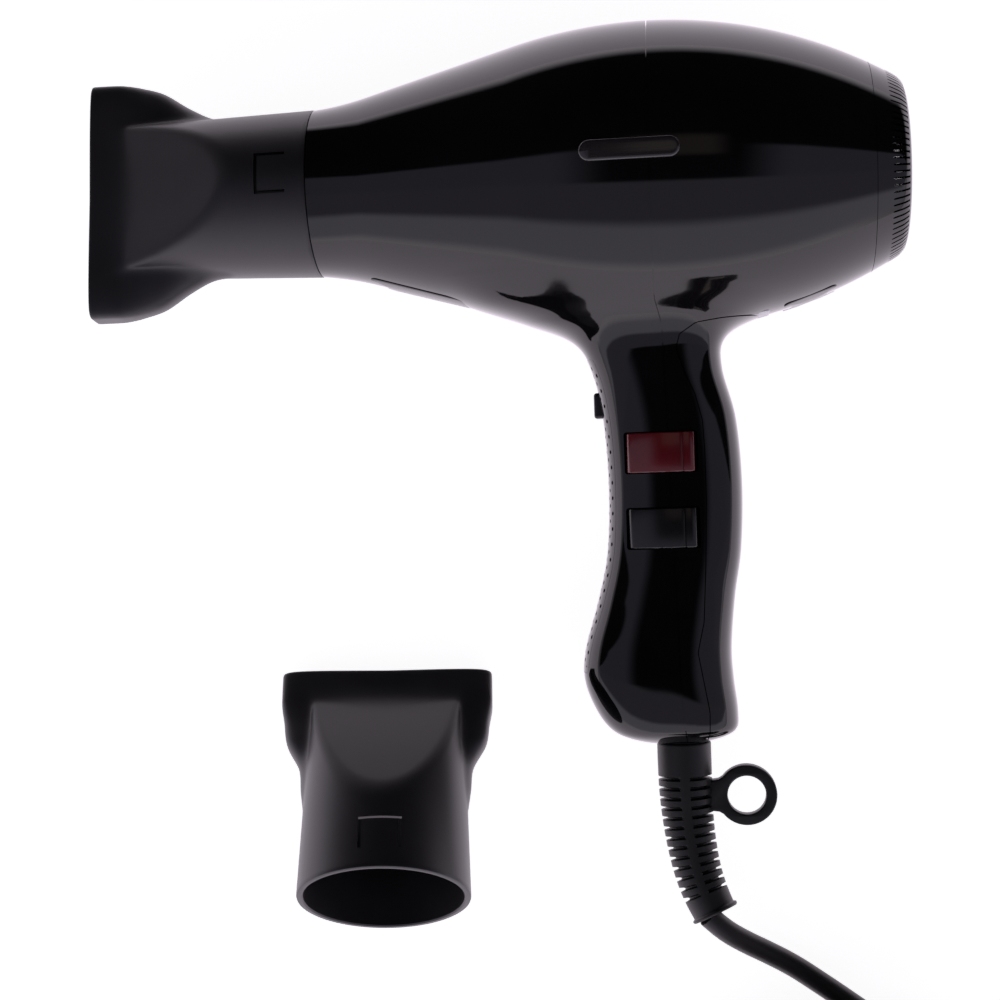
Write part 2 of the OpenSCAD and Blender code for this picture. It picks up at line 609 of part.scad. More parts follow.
// ---- strain relief, hanging loop and lead ----
// The strain relief's middle line, from inside the handle to its end, and its radius there
relief_path = [
    [4.1, -166, 0], [4.1, -170.3, 0], [4.1, -170.4, 0], [4.1, -174.6, 0], [4.1, -174.7, 0],
    [4.1, -182, 0], [4.2, -190, 0.1], [4.6, -198, 0.3], [5.5, -206, 0.8], [7, -214, 1.5],
    [9.2, -221, 2.4], [12.2, -227.6, 3.5]
];
relief_r = [9.5, 9.5, 7.3, 7.3, 8.3, 8.3, 8.2, 7.9, 7.6, 7.3, 7, 6.6];
module strain_relief() color([0.09, 0.09, 0.09]) lie() loft(lead_rings(relief_path, relief_r, 16));
loop_place = [22.9, -191.4];
loop_r = 5.9;
module hang_loop() color([0.09, 0.09, 0.09]) lie() difference() {
    union() {
        translate([loop_place[0], loop_place[1], -2.5]) cylinder(h = 5, r = 9.3);
        block([10.5, loop_place[1] - 3.5, -2.5], [16, loop_place[1] + 3.5, 2.5]);
    }
    translate([loop_place[0], loop_place[1], -5]) cylinder(h = 10, r = loop_r);
}
// The lead's route on the table, from the strain relief to the coil, measured from the seam centre
lead_route = [
    [13.5, -225, 11.8], [19, -229.5, 9.9], [25, -233, 7.6], [32, -236.4, 5.4], [40, -240.6, 3.9],
    [48, -245.8, 3.5], [57, -252, 3.5], [66, -258.4, 3.5], [74, -264, 3.5], [79, -267.8, 3.5]
];
coil_centre = [51, -308];
coil_half = coil_rows * lead_d / 2;
coil_top = 2 * coil_half;
tie_t = 1.2;
tie_w = 6;
tail_turns = [for (w = [200:-10:120]) w];       // the last of the lead, lying on top of the coil
plug_angle = 105;
plug_size = [22, 30, 17];
module on_table(at) translate([rest_x + at[0], rest_y + at[1], 0]) children();
module tie_band(thick, grow) translate([0, -coil_r, 0]) difference() {
    block([-tie_w / 2 - grow, -coil_half - 4 * grow, -4 * grow], [tie_w / 2 + grow, coil_half + 4 * grow, coil_top + 4 * grow]);
    block([-tie_w, -coil_half + thick, thick], [tie_w, coil_half - thick, coil_top - thick]);
}
module cord_lead() color([0.04, 0.04, 0.04]) on_table([0, 0])
    loft(lead_rings(lead_route, [for (p = lead_route) lead_d / 2], 8));
module cord_coil() color([0.04, 0.04, 0.04]) on_table(coil_centre) difference() {
    rotate_extrude() translate([coil_r - coil_half, 0]) square([2 * coil_half, coil_top]);
    tie_band(tie_t + 0.1, 0.2);
}
module cord_tail() color([0.04, 0.04, 0.04]) on_table(coil_centre) loft(lead_rings(
    [for (w = tail_turns) [coil_r * cos(w), coil_r * sin(w), coil_top + lead_d / 2]],
    [for (w = tail_turns) lead_d / 2], 8
));
module cord_tie() color([0.04, 0.04, 0.04]) on_table(coil_centre) tie_band(tie_t, 0);
// The plug lies on the coil, along its turns; its own -Y end takes the lead
module plug_at() on_table(coil_centre) rotate([0, 0, plug_angle]) translate([coil_r, 0, coil_top])
    rotate([0, 0, 180]) children();
module plug_body() color([0.05, 0.05, 0.05]) plug_at()
    block([-plug_size[0] / 2, -plug_size[1] / 2 + 4, 0], [plug_size[0] / 2, plug_size[1] / 2 + 4, plug_size[2]]);
module plug_pins() color([0.8, 0.7, 0.4]) plug_at() for (side = [-6.35, 6.35])
    block([side - 0.8, plug_size[1] / 2 + 4, 5], [side + 0.8, plug_size[1] / 2 + 21, 11]);

front_casing();
rear_casing();
outlet_ring();
outlet_grille();
badge_plate();
front_label_panel();
rear_label_panel();
rating_plate();
handle_vent_strip();
handle_rear_insert();
casing_screws();
mica_sleeve();
heater_boards();
heater_coils();
thermostat();
thermal_fuse();
motor_mount();
motor_stator();
field_windings();
front_bracket();
rear_bracket();
shaft_bearings();
carbon_brushes();
brush_holders();
fan_shroud();
suppressor_capacitor();
speed_switch();
heat_switch();
cool_shot_switch();
terminal_block();
handle_wiring();
inner_lead();
cord_clamp();
clamp_screws();
button_spring();
strain_relief();
hang_loop();
cord_lead();
cord_coil();
cord_tail();
cord_tie();
plug_body();
plug_pins();
rear_cover();
filter_mesh();
filter_frame();
nozzle();
spare_nozzle();
speed_rocker();
heat_rocker();
cool_shot_button();
motor_shaft();
armature_core();
armature_windings();
commutator();
fan_impeller();
fan_nut();
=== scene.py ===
"""A salon hair dryer on a pale table, with a fitted nozzle, a spare nozzle and its coiled lead.

Shapes are worked out in millimetres in the dryer's own frame, where X runs along the barrel
towards the air inlet, the handle points to -Y and +Z is the side with the switches.
"""
import json
import math

import bmesh
import bpy
import numpy as np
from mathutils import Euler, Matrix, Vector


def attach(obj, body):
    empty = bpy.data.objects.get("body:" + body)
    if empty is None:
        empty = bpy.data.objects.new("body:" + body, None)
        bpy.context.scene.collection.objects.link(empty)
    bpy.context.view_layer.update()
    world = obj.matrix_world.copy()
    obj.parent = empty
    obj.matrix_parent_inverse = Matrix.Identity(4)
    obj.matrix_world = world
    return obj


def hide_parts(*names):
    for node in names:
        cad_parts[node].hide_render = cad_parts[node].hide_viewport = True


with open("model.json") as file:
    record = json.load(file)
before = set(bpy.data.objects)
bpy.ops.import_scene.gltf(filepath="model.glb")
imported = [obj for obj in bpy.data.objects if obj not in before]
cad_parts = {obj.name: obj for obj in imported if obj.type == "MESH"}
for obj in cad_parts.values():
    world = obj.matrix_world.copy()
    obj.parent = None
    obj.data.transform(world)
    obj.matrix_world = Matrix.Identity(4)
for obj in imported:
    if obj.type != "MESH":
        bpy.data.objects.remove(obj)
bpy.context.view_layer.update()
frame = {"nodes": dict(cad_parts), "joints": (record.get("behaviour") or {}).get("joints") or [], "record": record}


# ---- How the dryer lies on the table ----
# The dryer's own frame starts at the fan's joint, where the barrel's axis meets the seam, and turns with
# the nozzle's and the rockers' axes. The table's frame starts on the table straight below that point.
joints = {joint["name"]: joint for joint in frame["joints"]}
along = Vector(joints["nozzle_swivel"]["axis"]).normalized()
across = Vector(joints["speed_rocker_tilt"]["axis"]).normalized()
seam_centre = Vector(joints["fan_spin"]["pos_m"])
turned = Matrix((along, across, along.cross(across))).transposed().to_4x4()
lie = Matrix.Translation(seam_centre) @ turned @ Matrix.Scale(0.001, 4)
on_table = Matrix.Translation((seam_centre.x, seam_centre.y, 0)) @ Matrix.Scale(0.001, 4)


def placed(points, place):
    """Millimetre points as metres in the row frame."""
    matrix = np.array(place)
    return np.asarray(points, float) @ matrix[:3, :3].T + matrix[:3, 3]


# ---- Camera ----
# A 71 mm lens looking almost straight down on the barrel from a good half metre.
def stand(name, data):
    """A new object in the scene."""
    made = bpy.data.objects.new(name, data)
    bpy.context.scene.collection.objects.link(made)
    return made


camera = stand("camera", bpy.data.cameras.new("camera"))
camera.data.lens = 70.96
camera.data.sensor_width = 36
camera.data.clip_start = 0.01
camera.location = (0.00156, -0.11725, 0.63169)
camera.rotation_euler = Euler([math.radians(a) for a in (10.345, 0.248, -0.842)])
bpy.context.scene.camera = camera


# ---- Mains lead ----
# A round PVC sheathed lead, 7 mm across, that leaves the strain relief, comes down to the table
# and is wound for storage in a coil of three layers of three turns, tied once.
lead_d = 7
lead_route = [
    (13.5, -225, 11.8), (19, -229.5, 9.9), (25, -233, 7.6), (32, -236.4, 5.4), (40, -240.6, 3.9),
    (48, -245.8, 3.5), (57, -252, 3.5), (66, -258.4, 3.5), (74, -264, 3.5),
]
coil_centre = np.array([51, -308, 0])
coil_start = 55.1                               # where the lead joins the coil, degrees
coil_inner = 35
coil_turned = 3095                              # degrees from the coil's start to its last turn's rise
tie_lift = 0.6                                  # the band's thickness under the coil


def ease(value, low, high):
    """0 below low, 1 above high and a half cosine between."""
    part = np.clip((value - low) / (high - low), 0, 1)
    return (1 - np.cos(math.pi * part)) / 2


def coil_point(turned_by):
    """A point of the coil: each turn steps to the next radius, and each third turn to the next layer."""
    turn, within = divmod(turned_by, 360)
    layer, row = divmod(min(int(turn), 8), 3)
    step = ease(within, 170, 290) if row < 2 else 0
    radius = coil_inner + lead_d * (2 - row - step if layer % 2 == 0 else row + step)
    height = lead_d * (0.5 + layer) + (lead_d * ease(within, 290, 360) if row == 2 and layer < 2 else 0)
    if turned_by > coil_turned - 110:
        height = lead_d * (2.5 + ease(turned_by, coil_turned - 110, coil_turned - 45))
        radius = coil_inner + lead_d * ease(turned_by, coil_turned - 45, coil_turned + 75)
    angle = math.radians(coil_start - turned_by)
    height += tie_lift * math.exp(-((math.degrees(angle) % 360 - 270) / 16) ** 2)
    return coil_centre + (radius * math.cos(angle), radius * math.sin(angle), height)


tail_turned = coil_turned + 76
lead_points = [np.array(p, float) for p in lead_route]
lead_points += [coil_point(turned_by) for turned_by in np.arange(0, tail_turned + 1, 9)]
line = bpy.data.curves.new("mains_lead", "CURVE")
line.dimensions = "3D"
line.bevel_depth = 1                            # times each point's radius
line.bevel_resolution = 5
line.use_fill_caps = True
spline = line.splines.new("BEZIER")
spline.bezier_points.add(len(lead_points) - 1)
for bezier, point in zip(spline.bezier_points, placed(lead_points, on_table)):
    bezier.co = point
    bezier.radius = lead_d / 2000
    bezier.handle_left_type = bezier.handle_right_type = "AUTO"
spline.resolution_u = 3
mains_lead = stand("mains_lead", line)
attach(mains_lead, "housing")
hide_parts("cord_lead", "cord_coil", "cord_tail")


def linear(code):
    """An sRGB hex colour as the linear numbers that a shader takes."""
    parts = [int(code[i:i + 2], 16) / 255 for i in (1, 3, 5)]
    return [c / 12.92 if c <= 0.04045 else ((c + 0.055) / 1.055) ** 2.4 for c in parts] + [1.0]


def node(tree, kind, links=(), **settings):
    """Adds a shader node, sets its inputs and choices, and links its inputs from other outputs."""
    made = tree.nodes.new("ShaderNode" + kind)
    for name, value in settings.items():
        if hasattr(made, name):
            setattr(made, name, value)
        else:
            made.inputs[name.replace("_", " ")].default_value = value
    for name, output in dict(links).items():
        tree.links.new(output, made.inputs[name])
    return made


def bare_material(name):
    """A new material, its empty node tree and the place of each point in the row frame."""
    made = bpy.data.materials.new(name)
    made.use_nodes = True
    made.node_tree.nodes.clear()
    return made, made.node_tree, node(made.node_tree, "TexCoord").outputs["Object"]


def plastic(name, colours, gloss, grain, depth, ior=1.5, clear=0.0, uneven=0.05):
    """A moulded plastic: two close colours in soft patches, a roughness that varies with them, and a
    surface grain of the given size and depth in millimetres."""
    made, tree, where = bare_material(name)
    patches = node(tree, "TexNoise", {"Vector": where}, Scale=1000 / 22, Detail=3.0).outputs["Fac"]
    fine = node(tree, "TexNoise", {"Vector": where}, Scale=1000 / grain, Detail=2.0).outputs["Fac"]
    tone = node(tree, "ValToRGB", {"Fac": patches})
    for stop, position, code in zip(tone.color_ramp.elements, (0.35, 0.65), colours):
        stop.position, stop.color = position, linear(code)
    rough = node(tree, "MapRange", {"Value": patches}, To_Min=gloss, To_Max=gloss + uneven)
    bump = node(tree, "Bump", {"Height": fine}, Strength=1.0, Distance=depth / 1000)
    links = {"Base Color": tone.outputs["Color"], "Roughness": rough.outputs["Result"],
             "Normal": bump.outputs["Normal"]}
    shade = node(tree, "BsdfPrincipled", links, IOR=ior, Coat_Weight=clear, Coat_Roughness=0.03)
    node(tree, "OutputMaterial", {"Surface": shade.outputs["BSDF"]})
    return made


# Plasticised PVC, extruded: satin black with a faint drawn texture
sheath = plastic("pvc_lead_sheath", ("#171516", "#201d1e"), 0.42, 0.9, 0.012)
mains_lead.data.materials.append(sheath)


# ---- Table and light ----
# A white table that glows a little, so that it comes out white under the soft light, and a studio
# with a big softbox towards the handle, pale ends, and nothing overhead or behind the barrel.
bpy.context.scene.view_settings.view_transform = "Standard"
bpy.context.scene.view_settings.look = "None"
table_half = 8                                  # metres
bm = bmesh.new()
bmesh.ops.create_grid(bm, x_segments=8, y_segments=8, size=table_half)
table_mesh = bpy.data.meshes.new("table")
bm.to_mesh(table_mesh)
bm.free()
table = stand("table", table_mesh)
white = bpy.data.materials.new("white_laminate")
white.use_nodes = True
tree = white.node_tree
shade = tree.nodes["Principled BSDF"]
lit = node(tree, "MixRGB", {"Fac": node(tree, "LightPath").outputs["Is Camera Ray"]})
lit.inputs[1].default_value = (1.25, 1.13, 1.26, 1)
lit.inputs[2].default_value = (0.91, 0.91, 0.91, 1)
tree.links.new(lit.outputs[0], shade.inputs["Emission Color"])
shade.inputs["Base Color"].default_value = linear("#e8e8ea")
shade.inputs["Roughness"].default_value = 0.7
shade.inputs["Specular IOR Level"].default_value = 0.2
shade.inputs["Emission Strength"].default_value = 1
table_mesh.materials.append(white)

world = bpy.data.worlds.new("studio")
bpy.context.scene.world = world
world.use_nodes = True
tree = world.node_tree
tree.nodes.clear()
ray = node(tree, "TexCoord").outputs["Generated"]
parts = node(tree, "SeparateXYZ", {"Vector": ray}).outputs
fore = node(tree, "Math", {0: parts["Y"]}, operation="MULTIPLY")
fore.inputs[1].default_value = -1
tilt = node(tree, "Math", {0: fore.outputs[0], 1: parts["Z"]}, operation="ARCTAN2").outputs[0]
side = node(tree, "Math", {0: parts["X"]}, operation="ABSOLUTE").outputs[0]


def edge(value, low, high):
    """A smooth step of a value from 0 to 1, for the edge of a softbox."""
    return node(tree, "MapRange", {"Value": value}, interpolation_type="SMOOTHSTEP",
                From_Min=low, From_Max=high).outputs["Result"]


def blend(share, low, high):
    """A mix of two lights by a share from 0 to 1."""
    mix = node(tree, "MixRGB", {"Fac": share})
    for slot, light in ((1, low), (2, high)):
        if isinstance(light, (tuple, list)):
            mix.inputs[slot].default_value = (*light, 1)
        else:
            tree.links.new(light, mix.inputs[slot])
    return mix.outputs[0]


# Tilt is the angle from straight up towards the handle, side is how far a ray leans along the barrel
dark = (0.012, 0.011, 0.012)
ends = (0.27, 0.26, 0.33)
fill = (0.30, 0.28, 0.34)
softbox = (0.93, 0.89, 1.03)
hood = (0.17, 0.14, 0.125)
above = blend(edge(tilt, 0.02, 0.10), blend(edge(tilt, -0.24, -0.14), dark, hood), dark)
above = blend(edge(side, 0.14, 0.26), above, dark)
overhead = blend(edge(side, 0.26, 0.52), above, ends)
back = blend(edge(tilt, -0.10, -0.04), above, overhead)
front = blend(edge(tilt, math.radians(20), math.radians(23)), back, fill)
studio = blend(edge(tilt, math.radians(48), math.radians(58)), front, softbox)
far_light = blend(edge(side, 0.6, 0.9), (1.6, 1.47, 1.62), (0.7, 0.64, 0.72))
horizon = blend(edge(parts["Z"], 0.0, 0.16), far_light, studio)
seen = node(tree, "LightPath").outputs["Is Camera Ray"]
shown = blend(seen, horizon, (0.93, 0.93, 0.94))
glow = node(tree, "Background", {"Color": shown}, Strength=1.0)
node(tree, "OutputWorld", {"Surface": glow.outputs[0]})


# ---- Shape of the two casings ----
# The barrel is a body of revolution with a swelling middle and a slim flared nose. The handle is a
# soft rounded rectangle that spreads where it meets the barrel. Both halves are moulded ABS.
barrel_r, nose_len, tail_len = 47.8, 104, 66
wall, insert_wall = 2.8, 1.3
front_curve, tail_curve = 155, 146
taper, tip_slope = math.radians(15.6), math.radians(6)
nose_flare = 16
arc_end_x = -front_curve * math.sin(taper)
arc_end_r = barrel_r - front_curve * (1 - math.cos(taper))
flare_x = nose_flare - nose_len
flare_r = arc_end_r + (flare_x - arc_end_x) * math.tan(taper)
flare_curve = nose_flare / (math.sin(taper) - math.sin(tip_slope))


def barrel_at(x):
    """Radius of the barrel at distances x behind the seam."""
    x = np.asarray(x, float)
    back = barrel_r - tail_curve + np.sqrt(np.maximum(tail_curve ** 2 - x ** 2, 0))
    front = barrel_r - front_curve + np.sqrt(np.maximum(front_curve ** 2 - x ** 2, 0))
    cone = arc_end_r + (x - arc_end_x) * math.tan(taper)
    slope = np.arcsin(np.clip(math.sin(taper) - (flare_x - x) / flare_curve, -1, 1))
    flare = flare_r - flare_curve * (np.cos(slope) - math.cos(taper))
    return np.select([x >= 0, x >= arc_end_x, x >= flare_x], [back, front, cone], flare)


handle_square, handle_top, handle_end = 2.8, 25, 174.5
top_round, end_round, fillet = 4, 5, 9
handle_stations = np.array([                    # distance from the axis, front, rear, half width
    [30, -62, 40, 26], [38, -52, 34, 24], [44, -38, 26, 21], [50, -26, 20.3, 19],
    [60, -20.4, 19.8, 18], [75, -17.5, 23.4, 17.5], [95, -16.5, 24.7, 17.5],
    [115, -17.5, 23.8, 17.5], [130, -20.8, 21.4, 18], [145, -25.2, 19.9, 19],
    [155, -25.8, 20.2, 19.4], [165, -22, 21.2, 18.5], [171, -17, 20.4, 16], [174.5, -10, 14.5, 11],
])


def along_curve(table, place):
    """Rows of a table at fractional row numbers, on a smooth curve through the rows."""
    last = len(table) - 1
    low = np.clip(np.floor(place).astype(int), 0, last - 1)
    t = (place - low)[:, None]
    a, b, c, d = (table[np.clip(low + k, 0, last)] for k in (-1, 0, 1, 2))
    return (2 * b + (c - a) * t + (2 * a - 5 * b + 4 * c - d) * t ** 2 + (3 * b - a - 3 * c + d) * t ** 3) / 2


handle_rows = along_curve(handle_stations, np.linspace(0, len(handle_stations) - 1, 400))


def handle_at(depth):
    """Front edge, rear edge and half width of the handle at distances from the barrel's axis."""
    return [np.interp(depth, handle_rows[:, 0], handle_rows[:, k]) for k in (1, 2, 3)]


def melt(a, b, size):
    """The smaller of two fields, rounded where they are equal."""
    near = np.maximum(size - np.abs(a - b), 0) / size
    return np.minimum(a, b) - near ** 2 * size / 4


def squared(u, v, n):
    """Distance field of a unit superellipse, as the share of the way past its edge."""
    return (np.abs(u) ** n + np.abs(v) ** n) ** (1 / n)


def casing_field(p):
    """Distance outside the casings' surface, negative inside."""
    x, y, z = p.T
    r = np.hypot(y, z)
    slope = barrel_at(x + 0.5) - barrel_at(x - 0.5)
    barrel = (r - barrel_at(x)) / np.sqrt(1 + slope ** 2)
    front, rear, half = handle_at(-y)
    middle, reach = (front + rear) / 2, (rear - front) / 2
    ratio = np.maximum(squared((x - middle) / reach, z / half, handle_square), 1e-3)
    handle = np.hypot(x - middle, z) * (1 - 1 / ratio)
    handle = -melt(-handle, y + handle_end, end_round)
    handle = -melt(-handle, -y - handle_top, top_round)
    return melt(barrel, handle, fillet)


def slope_of(field, p, step=0.02):
    """Gradient of a field at points."""
    return np.stack([
        (field(p + d) - field(p - d)) / (2 * step) for d in np.eye(3) * step
    ], axis=1)


def settle(field, p, rounds=4):
    """Moves points onto a field's zero surface."""
    for _ in range(rounds):
        g = slope_of(field, p)
        p = p - g * (field(p) / np.maximum((g ** 2).sum(1), 1e-6))[:, None]
    return p


def outward(field, p):
    """Unit normals of a field at points."""
    g = slope_of(field, p)
    return g / np.linalg.norm(g, axis=1)[:, None]


def end_caps(rings, n):
    """Faces that close the first and the last of some rings of n points."""
    return [list(range(n))[::-1], [(rings - 1) * n + i for i in range(n)]]


def ring_faces(rings, n, close=False):
    """Quads between rings of n points each, round and round."""
    j = np.arange(rings if close else rings - 1)[:, None]
    i = np.arange(n)[None, :]
    k = (j + 1) % rings
    quads = np.stack([j * n + i, j * n + (i + 1) % n, k * n + (i + 1) % n, k * n + i], axis=-1)
    return quads.reshape(-1, 4).tolist()


def face_outward(mesh):
    """Turns all faces of a closed mesh outwards."""
    bm = bmesh.new()
    bm.from_mesh(mesh)
    bmesh.ops.recalc_face_normals(bm, faces=bm.faces)
    bm.to_mesh(mesh)
    bm.free()


def new_piece(name, points, faces, place, body, material, slot, normals=None, crease=35):
    """A mesh object in the row frame that rides on a body. Edges sharper than crease, in degrees,
    stay sharp, and normals gives a corner normal for each face corner where it isn't None."""
    mesh = bpy.data.meshes.new(name)
    mesh.from_pydata(placed(points, place).tolist(), [], [list(f) for f in faces])
    if normals is None:
        face_outward(mesh)
    mesh.update()
    mesh.shade_smooth()
    mesh.set_sharp_from_angle(angle=math.radians(crease))
    if normals is not None:
        turn = np.array(place)[:3, :3]
        turn = turn / np.linalg.norm(turn[:, 0])
        corner = np.empty(len(mesh.loops) * 3)
        mesh.corner_normals.foreach_get("vector", corner)
        corner = corner.reshape(-1, 3)
        given = np.array(normals)
        known = ~np.isnan(given[:, 0])
        corner[known] = given[known] @ turn.T
        mesh.normals_split_custom_set(corner.tolist())
    piece = stand(name, mesh)
    mesh.materials.append(material)
    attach(piece, body)
    return piece


def carve(bm, level):
    """Splits the faces along a level's zero line. The level goes in for x while the plane cuts."""
    home = bm.verts.layers.float_vector.get("home") or bm.verts.layers.float_vector.new("home")
    points = np.array([v.co for v in bm.verts])
    for vert, value in zip(bm.verts, level(points)):
        vert[home] = vert.co
        vert.co.x = value
    geometry = bm.verts[:] + bm.edges[:] + bm.faces[:]
    bmesh.ops.bisect_plane(bm, geom=geometry, dist=1e-4, plane_co=(0, 0, 0), plane_no=(1, 0, 0))
    for vert in bm.verts:
        vert.co = vert[home]


def shell(name, bm, keep, field, thick, place, body, material, slot):
    """The kept faces of a carved surface as a closed wall: outer skin, inner skin and rims, with the
    outer skin's normals taken from the field."""
    centres = np.array([f.calc_center_median() for f in bm.faces])
    chosen = keep(centres)
    faces = [[v.index for v in f.verts] for f, k in zip(bm.faces, chosen) if k]
    used = sorted({i for f in faces for i in f})
    new = {old: i for i, old in enumerate(used)}
    faces = [[new[i] for i in f] for f in faces]
    outer = np.array([v.co for v in bm.verts])[used]
    n = outward(field, outer)
    count = len(outer)
    edges = {(a, b) for f in faces for a, b in zip(f, f[1:] + f[:1])}
    rim = [(b, a, a + count, b + count) for a, b in edges if (b, a) not in edges]
    inner = [[i + count for i in reversed(f)] for f in faces]
    nothing = [math.nan] * 3
    normals = [n[i] for f in faces for i in f] + [-n[i - count] for f in inner for i in f]
    normals += [nothing] * (4 * len(rim))
    return new_piece(name, np.concatenate([outer, outer - n * thick]), faces + inner + rim,
                     place, body, material, slot, normals, 30)


def line_distance(p, corners):
    """Distance of 2D points from a line through corners."""
    corners = np.array(corners, float)
    best = np.full(len(p), 1e9)
    for a, b in zip(corners[:-1], corners[1:]):
        t = np.clip(((p - a) @ (b - a)) / ((b - a) @ (b - a)), 0, 1)
        best = np.minimum(best, np.linalg.norm(p - a - t[:, None] * (b - a), axis=1))
    return best


def rounded_box(u, v, half_u, half_v, r):
    """Distance from a rounded rectangle about the origin, negative inside."""
    a, b = np.abs(u) - half_u + r, np.abs(v) - half_v + r
    return np.hypot(np.maximum(a, 0), np.maximum(b, 0)) + np.minimum(np.maximum(a, b), 0) - r


seam_side = np.array([[0, 80], [0, -40], [1.8, -47], [4.2, -162], [6.2, -182]])
spine_edge = np.array([
    [90, -38], [34, -44], [20, -45.5], [12, -46.8], [7, -50], [5.8, -54], [8.2, -61.6], [11, -68],
    [13, -76], [13.4, -85], [13.4, -100], [12.6, -120], [11.5, -137], [9.4, -146], [12.4, -164],
    [12.2, -171], [8.5, -182],
])


def behind_line(p, line, above=None):
    """Distance behind a line down the dryer's side, negative in front of it."""
    side = p[:, 0] - np.interp(-p[:, 1], -line[:, 1], line[:, 0], left=above)
    return np.sign(side) * line_distance(p[:, :2], line)


def seam_level(p):
    """Distance behind the seam between the two casings."""
    return behind_line(p, seam_side)


def spine_level(p):
    """Distance behind the edge of the insert down the handle's back."""
    return behind_line(p, spine_edge, 900)


strip_half, strip_top, strip_end = 11.5, -56, -152


def strip_level(p):
    """Distance outside the perforated strip's place on the handle's front."""
    flat = rounded_box(p[:, 2], p[:, 1] - (strip_top + strip_end) / 2, strip_half,
                       (strip_top - strip_end) / 2, 1.5)
    return np.maximum(flat, p[:, 0] + 8)


switch_seat, switch_lean = (0.4, 14.4), math.radians(7.5)
window, window_depth = (11.2, 6.35), 8          # half length and width, and how low it is cut
switch_ys = {"speed": 85.3, "heat": 108.2}


def window_level(y):
    """Level of the window that a rocker stands in."""
    def level(p):
        u = (p[:, 0] - switch_seat[0]) * math.cos(switch_lean)
        u = u + (p[:, 2] - switch_seat[1]) * math.sin(switch_lean)
        return np.maximum(rounded_box(u, p[:, 1] + y, *window, 0.9), window_depth - p[:, 2])
    return level


lead_x, lead_hole_r, lead_hole_y = 4.1, 7.6, -165


def lead_level(p):
    """Level of the round opening in the handle's end that the strain relief sits in."""
    return np.maximum(np.hypot(p[:, 0] - lead_x, p[:, 2]) - lead_hole_r, p[:, 1] - lead_hole_y)


def around(x, r, w):
    """Points at radius r and angles w round the barrel's axis."""
    return np.stack([w * 0 + x, r * np.cos(w), r * np.sin(w)], 1)


def applied(piece):
    """A new mesh of an object as its modifiers or its curve make it."""
    bpy.context.view_layer.update()
    return bpy.data.meshes.new_from_object(piece.evaluated_get(bpy.context.evaluated_depsgraph_get()))


def blank_casing():
    """The barrel and handle as one smooth closed skin of even small faces."""
    turns = np.radians(np.arange(0, 360, 5))
    xs = np.linspace(-nose_len - 6, tail_len + 6, 60)
    rings = [around(x, r, turns) for x, r in zip(xs, barrel_at(xs))]
    bm = bmesh.new()
    corners = np.radians(np.arange(0, 360, 7.5))
    c, s = np.cos(corners), np.sin(corners)
    ribs = []
    for depth in np.linspace(26, handle_end, 60):
        front, rear, half = handle_at(depth)
        u = np.sign(c) * np.abs(c) ** (2 / handle_square)
        v = np.sign(s) * np.abs(s) ** (2 / handle_square)
        ribs.append(np.stack([(front + rear) / 2 + u * (rear - front) / 2, u * 0 - depth, v * half], 1))
    for loops in (rings, ribs):
        n = len(loops[0])
        verts = [bm.verts.new(p) for p in np.concatenate(loops)]
        for face in ring_faces(len(loops), n):
            bm.faces.new([verts[i] for i in face])
        bm.faces.new(verts[:n])
        bm.faces.new(verts[-n:])
    bmesh.ops.recalc_face_normals(bm, faces=bm.faces)
    mesh = bpy.data.meshes.new("blank")
    bm.to_mesh(mesh)
    bm.free()
    blank = stand("blank", mesh)
    remesh = blank.modifiers.new("even", "REMESH")
    remesh.mode = "VOXEL"
    remesh.voxel_size = 1.3
    smooth = applied(blank)
    bpy.data.objects.remove(blank)
    points = np.empty(len(smooth.vertices) * 3)
    smooth.vertices.foreach_get("co", points)
    smooth.vertices.foreach_set("co", settle(casing_field, points.reshape(-1, 3), 5).ravel())
    bm = bmesh.new()
    bm.from_mesh(smooth)
    bmesh.ops.recalc_face_normals(bm, faces=bm.faces)
    for _ in range(2):                          # finer faces where the windows' corners are cut
        near = []
        for face in bm.faces:
            c = face.calc_center_median()
            beside = abs(c.x - switch_seat[0]) < 13 and min(abs(c.y + y) for y in switch_ys.values()) < 8
            if c.z > window_depth and beside:
                near.append(face)
        rims = list({e for f in near for e in f.edges})
        bmesh.ops.subdivide_edges(bm, edges=rims, cuts=1, use_grid_fill=True)
    flat = settle(casing_field, np.array([v.co for v in bm.verts]), 3)
    for vert, point in zip(bm.verts, flat):
        vert.co = point
    return bm


seam_gap = 0.14
openings = (strip_level, window_level(switch_ys["speed"]), window_level(switch_ys["heat"]), lead_level)
casing = blank_casing()
for cut in (
    lambda p: p[:, 0] + nose_len, lambda p: p[:, 0] - tail_len,
    lambda p: seam_level(p) - seam_gap, lambda p: seam_level(p) + seam_gap,
    lambda p: spine_level(p) - seam_gap, lambda p: spine_level(p) + seam_gap, *openings,
):
    carve(casing, cut)
casing.verts.index_update()


def solid_wall(p):
    """Where faces lie between the barrel's two ends and not in an opening."""
    return np.all([p[:, 0] > -nose_len, p[:, 0] < tail_len, *(level(p) > 0 for level in openings)], axis=0)


def casing_part(p):
    """Where faces belong to either casing and not to the spine insert."""
    return solid_wall(p) & (spine_level(p) < -seam_gap)


